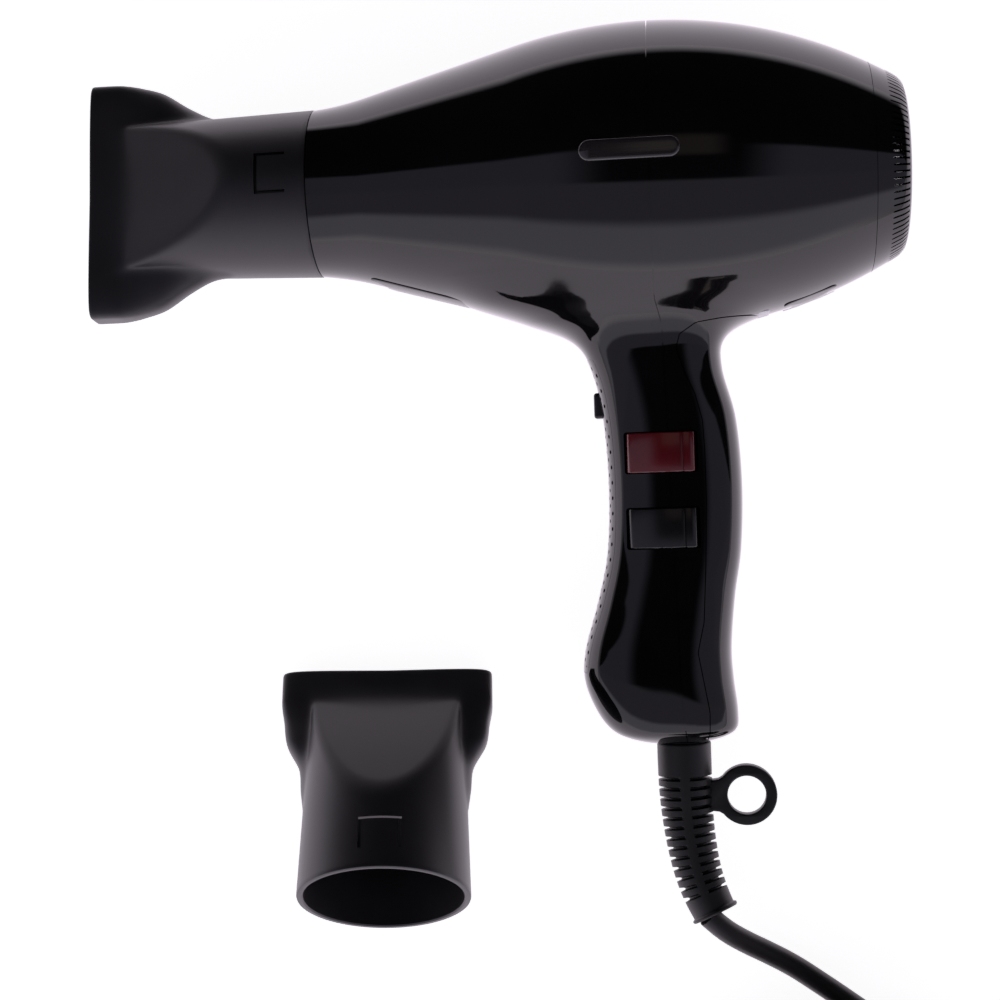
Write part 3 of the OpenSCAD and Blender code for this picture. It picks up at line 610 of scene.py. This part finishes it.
# Piano black ABS from a polished mould: deep, wet gloss with the faint waviness of a thick moulding
gloss_black = plastic("polished_abs", ("#070608", "#0b0a0c"), 0.045, 6.0, 0.006, 1.52, uneven=0.02)
for name, node_name, keep, thick in (
    ("front_casing_skin", "front_casing", lambda p: casing_part(p) & (seam_level(p) < -seam_gap), wall),
    ("rear_casing_skin", "rear_casing", lambda p: casing_part(p) & (seam_level(p) > seam_gap), wall),
    ("handle_spine_skin", "handle_rear_insert",
     lambda p: (spine_level(p) > seam_gap) & (lead_level(p) > 0), insert_wall),
):
    skin = shell(name, casing, keep, casing_field, thick, lie, "housing", gloss_black, "gloss_shell")
    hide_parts(node_name)
tongue_depth, tongue_half, tongue_t = 1.5, 1.6, 0.8    # a moulded tongue closes the joints from inside
points = np.array([v.co for v in casing.verts])
for vert, point in zip(casing.verts, points - outward(casing_field, points) * tongue_depth):
    vert.co = point


def on_joint(p):
    """Where faces lie behind a joint line and not in an opening."""
    return solid_wall(p) & (np.minimum(np.abs(seam_level(p)), np.abs(spine_level(p))) < tongue_half)


shell("seam_tongue", casing, on_joint, casing_field, tongue_t, lie, "housing", gloss_black, "gloss_shell")
casing.free()


# ---- Perforated strip ----
# A satin ABS strip clipped into the front of the handle. Staggered rows of small moulded holes let
# air to the cool shot switch, and a window takes its button.
hole_r, column_pitch, row_pitch = 0.62, 2.4, 4.7
button_y, button_half = -70, (4.0, 3.5)


def holes_level(p):
    """Distance outside the strip's small round holes."""
    best = np.full(len(p), 9.0)
    for column in range(-4, 5):
        y = p[:, 1] - row_pitch / 2 * (column % 2)
        y = (y + row_pitch / 2) % row_pitch - row_pitch / 2
        best = np.minimum(best, np.hypot(p[:, 2] - column * column_pitch, y) - hole_r)
    blind = rounded_box(p[:, 1] - button_y, p[:, 2], button_half[0] + 2.2, button_half[1] + 2.2, 1)
    rim = rounded_box(p[:, 1] - (strip_top + strip_end) / 2, p[:, 2], (strip_top - strip_end) / 2 - 2,
                      strip_half - 0.7, 1)
    return np.where((blind < 0) | (rim > 0), 1.0, best)


def button_level(p):
    """Distance outside the strip's window for the button."""
    return rounded_box(p[:, 1] - button_y, p[:, 2], button_half[0] + 0.3, button_half[1] + 0.3, 1.1)


def patch(us, vs, surface, field):
    """A sheet of small quads over two rows of numbers, laid on a field's surface."""
    u, v = np.meshgrid(us, vs, indexing="ij")
    points = settle(field, surface(u.ravel(), v.ravel()), 6)
    bm = bmesh.new()
    verts = [bm.verts.new(p) for p in points]
    n = len(vs)
    for j in range(len(us) - 1):
        for i in range(n - 1):
            corner = j * n + i
            bm.faces.new([verts[k] for k in (corner, corner + 1, corner + n + 1, corner + n)])
    return bm


cell = 0.4
strip = patch(np.arange(strip_end, strip_top + cell, cell), np.arange(-strip_half - 2, strip_half + 2, cell),
              lambda y, z: np.stack([handle_at(-y)[0], y, z], 1), casing_field)
for cut in (lambda p: strip_level(p) + 0.1, holes_level, button_level):
    carve(strip, cut)
strip.verts.index_update()
satin_black = plastic("satin_abs", ("#0e0d0f", "#131214"), 0.16, 0.5, 0.004, 1.5)
vent_strip = shell("handle_vent_skin", strip,
                   lambda p: (strip_level(p) < -0.1) & (holes_level(p) > 0) & (button_level(p) > 0),
                   casing_field, insert_wall, lie, "housing", satin_black, "strip")
strip.free()
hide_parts("handle_vent_strip")


# ---- Plates, badge and button ----
# Small moulded plates with a soft edge: the oval badge over the seam, left blank, three blank label
# panels under the barrel, and the cool shot button in the strip.
def outline(half_u, half_v, r, n=12):
    """Points round a rectangle with round corners."""
    arc = np.linspace(0, math.pi / 2, n)
    r = max(min(r, half_u, half_v), 0.01)
    points = []
    for k, (u, v) in enumerate(((1, 1), (-1, 1), (-1, -1), (1, -1))):
        turn = arc + k * math.pi / 2
        points.append(np.stack([u * (half_u - r) + r * np.cos(turn), v * (half_v - r) + r * np.sin(turn)], 1))
    return np.concatenate(points)


def plate(half_u, half_v, r, steps):
    """Rings (u, v, height) of a plate, for steps of inset and height, and its faces."""
    rings = []
    for inset, height in steps:
        flat = outline(max(half_u - inset, 0.05), max(half_v - inset, 0.05), r - inset)
        rings.append(np.column_stack([flat, np.full(len(flat), height)]))
    n = len(rings[0])
    return np.concatenate(rings), ring_faces(len(rings), n) + end_caps(len(rings), n)


def on_side(points, x0):
    """A plate's points on the barrel's switch side."""
    x, y, h = points[:, 0] + x0, points[:, 1], points[:, 2]
    return np.stack([x, y, np.sqrt(barrel_at(x) ** 2 - y ** 2) + h], 1)


def under(points, x0):
    """A plate's points under the barrel, towards the handle."""
    return on_side(points, x0)[:, [0, 2, 1]] * (1, -1, 1)


# Clear lacquer over dark printed polycarbonate: a shade lighter than the shell and just as wet
lacquer = plastic("lacquered_polycarbonate", ("#242224", "#2a2728"), 0.12, 3.0, 0.002, 1.58, clear=0.5)
points, faces = plate(14.6, 3.1, 3.1, [
    (0, -0.2), (0, 0.35), (0.1, 0.55), (0.3, 0.72), (0.6, 0.82), (1.0, 0.87), (1.6, 0.9), (2.2, 0.91),
    (2.7, 0.92), (3.0, 0.92)])
badge = new_piece("badge_oval", on_side(points + (0, 1.4, 0), -5.5), faces, lie, "housing", lacquer, "badge")
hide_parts("badge_plate")
label_black = plastic("label_polycarbonate", ("#141315", "#19181a"), 0.2, 1.2, 0.003)
label_silver = plastic("silvered_polyester", ("#a9a9ad", "#b5b5b9"), 0.3, 0.8, 0.002)
for node_name, x0, z0, half_u, half_v, material, slot_name in (
    ("front_label_panel", -68, 0, 20, 9, label_black, "label_panel"),
    ("rear_label_panel", 47, 1, 8, 8, label_black, "label_panel"),
    ("rating_plate", 29.5, 4, 5, 5, label_silver, "rating_plate"),
):
    insets = [(0, -0.1), (0, 0.2), (0.12, 0.32), (0.35, 0.36)]
    insets += [(half_v * k / 8, 0.36) for k in range(1, 9)]
    points, faces = plate(half_u, half_v, 2, insets)
    panel = new_piece(node_name + "_skin", under(points + (0, z0, 0), x0), faces, lie,
                      "housing", material, slot_name)
    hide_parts(node_name)

points, faces = plate(*button_half, 1.1, [
    (0, -12.2), (0, -19.3), (0.15, -19.8), (0.5, -20.1), (1.0, -20.2), (1.7, -20.0), (2.4, -19.85),
    (3.2, -19.8)])
button = new_piece("cool_shot_cap", points[:, [2, 0, 1]] + (0, button_y, 0), faces, lie,
                   "cool_shot_button", satin_black, "strip")
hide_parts("cool_shot_button")


# ---- Nozzles ----
# Glass filled nylon with a fine spark eroded texture. A round collar turns on the outlet, two sloping
# flats squeeze it to a slot, wings spread it sideways, and a sprung tab is cut into the collar.
nozzle_len, mouth_t, nozzle_wall = 73, 13, 1.9
collar_r, collar_draft, collar_bore = 26.1, 1 / 30, 24.06
flat_end, flat_slope = 63, math.tan(math.radians(26.3))
lip_bore, lip_at = 22.6, 19                     # a step inside that stops the nozzle on the outlet
nozzle_joint = -104.2
nozzle_turn = math.radians(-8)
tab = [(6.3, -6.4), (15.8, -6.4), (15.8, 6.4), (6.3, 6.4), (6.3, 5.4), (14.8, 5.4), (14.8, -5.4), (6.3, -5.4)]
tab_low, tab_high = 20, 30                      # the slit's reach from the collar's axis
ring_count = 144                                # points round a ring


def nozzle_skin(mouth):
    """A function for a nozzle's rings, in (distance from the joint, width, thickness)."""
    table = np.array([                          # distance, wing half width, wing half thickness, squareness
        [0, 20, 9, 2], [24, 22, 9, 2], [29, 24.4, 9.2, 2.05], [34, 25.9, 9.2, 2.2],
        [42, 0.3 * mouth + 7.2, 8.7, 2.6], [50, 0.4 * mouth + 4.6, 7.9, 3.2], [57, mouth / 2 - 0.9, 7.1, 4],
        [62, mouth / 2 - 0.1, 6.6, 5.5], [66, mouth / 2, mouth_t / 2, 7], [74, mouth / 2, mouth_t / 2, 7]])
    rows = along_curve(table, np.linspace(0, len(table) - 1, 300))

    def field(p):
        s, y, z = p.T
        r = np.hypot(y, z)
        flats = (np.abs(z) - mouth_t / 2 - (flat_end - s) * flat_slope) * math.cos(math.atan(flat_slope))
        body = -melt(collar_r - s * collar_draft - r, -flats, 1.6)
        wide, thick, square = (np.interp(s, rows[:, 0], rows[:, k]) for k in (1, 2, 3))
        wings = r * (1 - 1 / np.maximum(squared(y / wide, z / thick, square), 1e-3))
        return melt(body, wings, 2.5)

    def ring(s, inset, round_r=None):
        w = np.linspace(0, 2 * math.pi, ring_count, endpoint=False)
        if round_r:
            return around(s, round_r, w)
        wide, thick, square = (np.interp(s, rows[:, 0], rows[:, k]) for k in (1, 2, 3))
        collar = collar_r - s * collar_draft
        wide = max(wide, collar)
        thick = max(thick, min(collar, mouth_t / 2 + (flat_end - s) * flat_slope))
        y = wide * np.sign(np.cos(w)) * np.abs(np.cos(w)) ** (2 / square)
        z = thick * np.sign(np.sin(w)) * np.abs(np.sin(w)) ** (2 / square)
        low, high = np.full(len(w), 0.2), np.full(len(w), 1.6)
        for _ in range(24):
            middle = (low + high) / 2
            inside = field(np.stack([w * 0 + s, y * middle, z * middle], 1)) + inset < 0
            low, high = np.where(inside, middle, low), np.where(inside, high, middle)
        return np.stack([w * 0 + s, y * low, z * low], 1)
    return ring


def nozzle_mesh(mouth):
    """Points and faces of a nozzle with a rounded collar, a rounded mouth and a hollow inside."""
    ring = nozzle_skin(mouth)
    step = 0.8
    rings = [ring(0, 0.5), ring(0.2, 0.15), ring(0.6, 0)]
    rings += [ring(s, 0) for s in np.arange(1.5, 72.2, step)]
    rings += [ring(nozzle_len - back, inset) for back, inset in (
        (0.5, 0.06), (0.2, 0.25), (0, 0.7), (0, 1.2), (0.25, 1.65), (0.7, 1.85))]
    rings += [ring(s, nozzle_wall) for s in np.arange(71, 24.5, -2 * step)]
    rings += [ring(s, 0, r) for s, r in (
        (24, lip_bore), (lip_at, lip_bore), (lip_at, collar_bore), (0.4, collar_bore),
        (0, collar_bore + 0.4))]
    return np.concatenate(rings), ring_faces(len(rings), ring_count, close=True)


def cut_tab(piece, place):
    """Cuts the slit of the sprung tab through a nozzle's collar."""
    slit = [(s, y, reach) for reach in (tab_low, tab_high) for s, y in tab]
    n = len(tab)
    sides = [[i, (i + 1) % n, (i + 1) % n + n, i + n] for i in range(n)]
    mesh = bpy.data.meshes.new("tab_slit")
    mesh.from_pydata(placed(slit, place).tolist(), [],
                     sides + [list(range(n))[::-1], list(range(n, 2 * n))])
    cutter = stand("tab_slit", mesh)
    face_outward(mesh)
    boolean = piece.modifiers.new("slit", "BOOLEAN")
    boolean.operation = "DIFFERENCE"
    boolean.solver = "EXACT"
    boolean.object = cutter
    cut = applied(piece)
    piece.modifiers.clear()
    piece.data = cut
    cut.shade_smooth()
    cut.set_sharp_from_angle(angle=math.radians(38))
    bpy.data.objects.remove(cutter)


nylon = plastic("glass_filled_nylon", ("#1c1b1e", "#232225"), 0.40, 0.45, 0.02, 1.53)
spare_mount = next(m for m in frame["record"]["mounts"] if m["name"] == "spare_collar")
spare_lean = math.asin(abs(spare_mount["axis"][2]) / Vector(spare_mount["axis"]).length)
spare_place = (-85, -218)
spare_height = nozzle_len * math.sin(spare_lean) + mouth_t / 2 * math.cos(spare_lean)
fitted = lie @ Matrix.Rotation(nozzle_turn, 4, "X") @ Matrix.Translation((nozzle_joint, 0, 0))
fitted = fitted @ Matrix.Diagonal((-1, 1, 1, 1))
loose = on_table @ Matrix.Translation((*spare_place, spare_height)) @ Matrix.Rotation(-spare_lean, 4, "X")
loose = loose @ Matrix(((0, 1, 0, 0), (1, 0, 0, 0), (0, 0, 1, 0), (0, 0, 0, 1)))
for name, mouth, place in (("nozzle", 76, fitted), ("spare_nozzle", 66, loose)):
    points, faces = nozzle_mesh(mouth)
    piece = new_piece(name + "_skin", points, faces, place, name, nylon, "nozzle")
    cut_tab(piece, place)
    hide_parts(name)


# ---- Rear cover ----
# The same gloss ABS as the shells. Fine slots run over its rim, the end face is an open guard
# of rings and spokes, and a skirt inside clips it into the rear casing.
cover_x, cover_end, cover_wall = tail_len + 0.15, 77, 1.8    # where it starts and ends, and its thickness
slots, slot_half, slot_from, slot_to = 90, 0.3, 70.9, 76
guard_gaps, spoke_half = ((5.6, 11.8), (13.2, 16.8), (18.2, 20.9)), 0.9


def cover_field(p):
    """Distance outside the rear cover, negative inside."""
    x = np.minimum(p[:, 0], 80)
    side = (np.hypot(p[:, 1], p[:, 2]) - barrel_at(x)) * 0.88
    return -melt(-side, cover_end - p[:, 0], 3.4)


def slots_level(p):
    """Negative in the fine slots over the cover's rim."""
    r = np.hypot(p[:, 1], p[:, 2])
    share = (np.arctan2(p[:, 2], p[:, 1]) / (2 * math.pi) * slots) % 1 - 0.5
    gap = np.abs(share) * 2 * math.pi * r / slots - slot_half
    return np.maximum(np.maximum(gap, slot_from - p[:, 0]), p[:, 0] - slot_to)


def guard_level(p):
    """Negative in the openings between the guard's rings and spokes."""
    r = np.hypot(p[:, 1], p[:, 2])
    rings = np.minimum.reduce([np.maximum(a - r, r - b) for a, b in guard_gaps])
    turn = np.arctan2(p[:, 2], p[:, 1])
    spoke = spoke_half - r * np.abs(np.sin((turn + math.pi / 8) % (math.pi / 4) - math.pi / 8))
    return np.maximum(np.maximum(rings, spoke), slot_to - p[:, 0])


profile = [(x, float(barrel_at(x))) for x in np.arange(cover_x, 75, 0.7)]
profile += [(cover_end, r) for r in np.arange(27.4, 0.6, -0.7)]
turns = np.linspace(0, 2 * math.pi, slots * 4 + 1)
cover_x_at, cover_r_at = np.array(profile).T
cover = patch(np.arange(len(profile)), turns,
              lambda j, w: around(cover_x_at[j], cover_r_at[j], w), cover_field)
bmesh.ops.remove_doubles(cover, verts=cover.verts, dist=1e-4)
for cut in (slots_level, guard_level):
    carve(cover, cut)
cover.verts.index_update()
cover_skin = shell("rear_cover_skin", cover, lambda p: (slots_level(p) > 0) & (guard_level(p) > 0),
                   cover_field, cover_wall, lie, "rear_cover", gloss_black, "rear_cover")
cover.free()
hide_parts("rear_cover")
skirt_r = float(barrel_at(tail_len)) - wall - 0.35
skirt = ((60, -0.3), (60.4, 0), (68.5, 0), (68.5, -1.7), (60.4, -1.7), (60, -1.3))
w = np.linspace(0, 2 * math.pi, 96, endpoint=False)
rings = [around(x, skirt_r + grow, w) for x, grow in skirt]
new_piece("rear_cover_skirt", np.concatenate(rings), ring_faces(len(skirt), len(w), close=True), lie,
          "rear_cover", satin_black, "rear_cover")


# ---- Rockers ----
# Two rockers in snap-in frames, each with a curved top and a crease near its rear end. The speed
# rocker is clear red polycarbonate over a dark core, the heat rocker is black.
rocker_width = 12.1


def rocker_outline():
    """The rocker's side view, from its rear end over the top to the front end and the foot."""
    top = [(x, 3.45 - 0.016 * (x + 2) ** 2) for x in np.linspace(6.3, -9, 22)]
    rear = [(9.2, -1.6), (10.2, 0.2), (10.2, 1.4), (10, 1.9), (9.6, 2.25), (8.3, 2.6), (7.1, 2.7), (6.8, 2.1)]
    return rear + top + [(-9.8, 2.35), (-10.3, 1.75), (-10.6, 1), (-10.6, -0.8), (-4, -6), (4, -6)]


def pressed(name, lines, thickness, soft_edge, place, body, material, slot, angle=30):
    """A flat shape of closed lines, the second a hole, with its thickness across and its edges rounded."""
    shape = bpy.data.curves.new(name, "CURVE")
    shape.dimensions = "2D"
    shape.fill_mode = "BOTH"
    shape.extrude = thickness / 2 - soft_edge
    shape.bevel_depth = soft_edge
    shape.bevel_resolution = 2
    shape.offset = -soft_edge
    for corners in lines:
        spline = shape.splines.new("POLY")
        spline.points.add(len(corners) - 1)
        for point, (u, v) in zip(spline.points, corners):
            point.co = (u, v, 0, 1)
        spline.use_cyclic_u = True
    holder = stand(name, shape)
    bm = bmesh.new()
    bm.from_mesh(applied(holder))
    bpy.data.objects.remove(holder)
    bmesh.ops.remove_doubles(bm, verts=bm.verts, dist=1e-4)
    bm.verts.index_update()
    points = [v.co[:] for v in bm.verts]
    faces = [[v.index for v in f.verts] for f in bm.faces]
    bm.free()
    return new_piece(name, points, faces, place, body, material, slot, None, angle)


red_clear = plastic("red_polycarbonate", ("#5a1119", "#68151c"), 0.16, 1.5, 0.003, 1.58, clear=0.3)
rocker_black = plastic("black_polycarbonate", ("#0f0f11", "#151517"), 0.2, 1.5, 0.003, 1.58)
for name, material in (("speed", red_clear), ("heat", rocker_black)):
    seat = lie @ Matrix.Translation((switch_seat[0], -switch_ys[name], switch_seat[1]))
    seat = seat @ Matrix.Rotation(-switch_lean, 4, "Y") @ Matrix.Rotation(math.pi / 2, 4, "X")
    rocker = pressed(name + "_rocker_cap", [rocker_outline()], rocker_width, 0.45, seat,
                     name + "_rocker", material, name + "_rocker")
    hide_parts(name + "_rocker")


# ---- Strain relief and hanging ring ----
# One soft PVC moulding. Short cuts across both flanks let it bend, a plain spine joins them along the
# top and bottom, it ends in a small lip, and a flat ring to hang the dryer by sticks out of its side.
relief_rows = np.array([                        # centre line in the dryer's frame, and radius
    [4.1, -174.7, 0, 8.3], [4.1, -182, 0, 8.3], [4.2, -190, 0.1, 8.2], [4.6, -198, 0.3, 7.9],
    [5.5, -206, 0.8, 7.6], [7, -214, 1.5, 7.3], [9.2, -221, 2.4, 7], [12.2, -227.6, 3.5, 6.6]])
relief_count = 72                               # points round a ring
first_cut, cut_pitch, cut_count, cut_half, cut_deep = 10.9, 3.0, 13, 0.42, 1.7
relief_line = along_curve(relief_rows, np.linspace(0, len(relief_rows) - 1, 400))
relief_run = np.concatenate([[0], np.cumsum(np.linalg.norm(np.diff(relief_line[:, :3], axis=0), axis=1))])
relief_len = relief_run[-1]


def relief_ring(t, grow=0.0, fixed=None):
    """A ring of the relief at distance t from the handle."""
    centre, ahead, behind = (
        np.array([np.interp(at, relief_run, relief_line[:, k]) for k in range(3)])
        for at in (t, t + 0.5, t - 0.5))
    heading = (ahead - behind) / np.linalg.norm(ahead - behind)
    flank = np.cross(heading, (0, 0, 1))
    flank = flank / np.linalg.norm(flank)
    up = np.cross(flank, heading)
    w = np.linspace(0, 2 * math.pi, relief_count, endpoint=False)
    r = np.full(relief_count, fixed if fixed else np.interp(t, relief_run, relief_line[:, 3]) + grow)
    off = abs((t - first_cut + cut_pitch / 2) % cut_pitch - cut_pitch / 2)
    if not fixed and first_cut - 1 < t < first_cut + cut_pitch * (cut_count - 1) + 1:
        cut = 1 - ease(off, cut_half - 0.12, cut_half + 0.12)
        r = r - cut_deep * cut * ease(np.abs(np.cos(w)), 0.17, 0.27)
    return centre + r[:, None] * (np.cos(w)[:, None] * flank + np.sin(w)[:, None] * up)


rings = [relief_ring(0, fixed=7.3) + (0, back, 0) for back in (3, 0.05)]
rings += [relief_ring(0, -0.5), relief_ring(0.15, -0.15)]
rings += [relief_ring(t) for t in np.arange(0.5, relief_len - 1.4, 0.25)]
rings += [relief_ring(relief_len - back, grow) for back, grow in (
    (1.3, 0.1), (1.1, 0.6), (0.8, 0.8), (0.3, 0.75), (0, 0.4))]
rings += [relief_ring(relief_len, fixed=r) for r in (5.2, 4.2)] + [relief_ring(relief_len - 0.8, fixed=3.7)]
faces = ring_faces(len(rings), relief_count) + end_caps(len(rings), relief_count)
soft_pvc = plastic("soft_pvc", ("#0d0c0e", "#131214"), 0.46, 0.35, 0.012, 1.5)
relief = new_piece("strain_relief_sleeve", np.concatenate(rings), faces, lie, "housing", soft_pvc,
                   "strain_relief", None, 50)
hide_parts("strain_relief")
w = np.radians(np.arange(-142, 142.1, 4))
loop_outline = [(9.3 * math.cos(a), 9.3 * math.sin(a)) for a in w]
loop_outline += [(-8.6, 5.0), (-10.2, 4.8), (-13.2, 4.9), (-13.2, -4.9), (-10.2, -4.8), (-8.6, -5.0)]
loop_hole = [(5.9 * math.cos(a), -5.9 * math.sin(a)) for a in np.radians(np.arange(0, 360, 5))]
loop = pressed("hanging_ring", [loop_outline, loop_hole], 5, 0.6, lie @ Matrix.Translation((22.9, -191.4, 0)),
               "housing", soft_pvc, "strain_relief")
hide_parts("hang_loop")


# ---- Tie and plug ----
# A rubber band holds the coil together. The two-blade plug is moulded onto the lead in the same PVC,
# with a ribbed boot and finger ribs down its flanks.
bundle, band_t = 1.5 * lead_d, tie_lift
coil_middle = coil_inner + lead_d
tie_lines = [outline(bundle + 2 * band_t, bundle + band_t, 4.1, 8),
             outline(bundle + band_t, bundle, 3.5, 8)[::-1]]
tie_place = on_table @ Matrix.Translation((coil_centre[0], coil_centre[1] - coil_middle, bundle + band_t))
tie_place = tie_place @ Matrix.Rotation(math.pi / 2, 4, "Z") @ Matrix.Rotation(math.pi / 2, 4, "X")
tie = pressed("coil_band", tie_lines, 6, 0.2, tie_place, "housing", soft_pvc, "tie")
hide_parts("cord_tie")
plug_place = on_table @ Matrix.Translation(coil_centre.tolist()) @ Matrix.Rotation(math.radians(105), 4, "Z")
plug_place = plug_place @ Matrix.Translation((coil_middle, 0, 3 * lead_d)) @ Matrix.Rotation(math.pi, 4, "Z")
boot_pitch, finger_pitch = 2.4, 3
rings = []
for y, half_u, half_v, corner, height in [
    (-21, 3.9, 3.9, 3.9, 3.7), (-20.6, 4.5, 4.5, 4.5, 4.5)
] + [
    (y, 4.6 + 0.14 * (y + 20) + 0.35 * ease(abs(y % boot_pitch - boot_pitch / 2), 0.3, 0.7),
     4.6 + 0.1 * (y + 20), 4.6, 4.7 + 0.25 * (y + 20)) for y in np.arange(-20, -10.4, 0.3)
] + [
    (-9.5, 7.2, 6.6, 5, 7.6), (-8, 9, 7.4, 4.5, 8.1), (-5, 10.6, 8.1, 3.5, 8.4)
] + [
    (y, 11 - 0.6 * ease(abs(y % finger_pitch - finger_pitch / 2), 0.6, 1.1), 8.4, 3, 8.5)
    for y in np.arange(-3, 12.1, 0.3)
] + [(14, 11, 8.4, 3, 8.5), (18, 10.8, 8.3, 3, 8.5), (18.7, 10.5, 8, 2.8, 8.5), (19, 10, 7.5, 2.5, 8.5)]:
    flat = outline(half_u, half_v, corner)
    bend = coil_middle - math.sqrt(coil_middle ** 2 - min(y, 0) ** 2)   # the boot follows the turn below
    rings.append(np.column_stack([flat[:, 0] + bend, np.full(len(flat), y), flat[:, 1] + height]))
n = len(rings[0])
faces = ring_faces(len(rings), n) + end_caps(len(rings), n)
plug = new_piece("mains_plug_body", np.concatenate(rings), faces, plug_place,
                 "housing", soft_pvc, "plug_body")
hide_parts("plug_body")


# ---- Metals, boards and other parts inside ----
# What the casings hide keeps its shape, and takes the finish of what it is made of.
def metal(name, colours, rough, grain, brushed=(1, 1, 1), depth=0.004):
    """A metal with a fine surface, drawn out along an axis where it was brushed or rolled."""
    made, tree, where = bare_material(name)
    drawn = node(tree, "Mapping", {"Vector": where}, Scale=brushed).outputs["Vector"]
    lines = node(tree, "TexNoise", {"Vector": drawn}, Scale=1000 / grain, Detail=3.0).outputs["Fac"]
    tone = node(tree, "ValToRGB", {"Fac": lines})
    for stop, code in zip(tone.color_ramp.elements, colours):
        stop.color = linear(code)
    bump = node(tree, "Bump", {"Height": lines}, Strength=1.0, Distance=depth / 1000)
    links = {"Base Color": tone.outputs["Color"], "Normal": bump.outputs["Normal"]}
    shade = node(tree, "BsdfPrincipled", links, Metallic=1.0, Roughness=rough)
    node(tree, "OutputMaterial", {"Surface": shade.outputs["BSDF"]})
    return made


steel = metal("zinc_plated_steel", ("#9a9a9c", "#b4b4b8"), 0.32, 0.8)
inner_finishes = {
    "outlet_ring": plastic("phenolic_moulding", ("#161517", "#1d1c1e"), 0.38, 0.5, 0.012),
    "outlet_grille": metal("blackened_steel", ("#3a393b", "#4a494c"), 0.45, 0.6),
    "casing_screws": steel, "clamp_screws": steel, "fan_nut": steel, "motor_shaft": steel,
    "button_spring": metal("music_wire", ("#8f9094", "#a9aaae"), 0.28, 0.4),
    "mica_sleeve": plastic("mica_sheet", ("#b09a68", "#cdbb8a"), 0.35, 1.4, 0.03, 1.56, uneven=0.15),
    "heater_coils": metal("nickel_chrome_wire", ("#6f655c", "#8d8279"), 0.4, 0.7, (1, 6, 6), 0.08),
    "thermostat": metal("drawn_aluminium", ("#a3a5a8", "#bcbec2"), 0.35, 0.7),
    "thermal_fuse": plastic("glazed_ceramic", ("#d6d3c8", "#e2dfd6"), 0.15, 2.0, 0.002),
    "motor_mount": satin_black, "fan_shroud": satin_black, "cord_clamp": satin_black,
    "motor_stator": metal("silicon_steel_laminations", ("#5b5d61", "#7d8085"), 0.4, 0.5, (6, 1, 1), 0.03),
    "field_windings": metal("enamelled_copper", ("#7c3516", "#b05a2a"), 0.3, 0.6, (1, 4, 4), 0.06),
    "front_bracket": metal("die_cast_zinc", ("#808287", "#94969b"), 0.42, 0.9),
    "shaft_bearings": metal("sintered_bronze", ("#8f6f35", "#ab8846"), 0.45, 0.4),
    "carbon_brushes": plastic("pressed_carbon", ("#1a1a1b", "#262627"), 0.55, 0.4, 0.02),
    "brush_holders": metal("pressed_brass", ("#a98a3e", "#c3a352"), 0.3, 0.8),
    "suppressor_capacitor": plastic("epoxy_dipped_film", ("#a07f1c", "#b8942a"), 0.3, 1.5, 0.02),
    "speed_switch": plastic("black_nylon", ("#0e0e0f", "#141415"), 0.4, 0.5, 0.01),
    "cool_shot_switch": plastic("blue_nylon", ("#232c44", "#2b3650"), 0.4, 0.5, 0.01),
    "terminal_block": plastic("white_nylon", ("#cfccc2", "#dbd8cf"), 0.4, 0.6, 0.01),
    "handle_wiring": plastic("brown_wire_pvc", ("#3f2211", "#4f2c17"), 0.4, 0.6, 0.01),
    "inner_lead": sheath,
    "plug_pins": metal("nickel_plated_brass", ("#a8a294", "#bdb8aa"), 0.22, 0.9, (1, 1, 5)),
    "filter_mesh": metal("woven_stainless_steel", ("#7b7c80", "#96979b"), 0.35, 0.35, (1, 1, 1), 0.03),
    "commutator": metal("hard_drawn_copper", ("#9a5026", "#bf6e3a"), 0.28, 0.5, (4, 1, 1)),
    "fan_impeller": plastic("glass_filled_polycarbonate", ("#1b1b1d", "#242426"), 0.3, 0.7, 0.01),
}
same_as = {
    "heater_boards": "mica_sleeve", "rear_bracket": "front_bracket", "heat_switch": "speed_switch",
    "armature_core": "motor_stator", "armature_windings": "field_windings", "filter_frame": "fan_shroud",
}
for name, other in same_as.items():
    inner_finishes[name] = inner_finishes[other]
for name, finish in inner_finishes.items():
    slots_of = frame["nodes"][name].data.materials
    slots_of.clear()
    slots_of.append(finish)


# ---- The lead's first point in metres, and a last update of the scene ----
placed([lead_route[0]], on_table)[0]
bpy.context.view_layer.update()
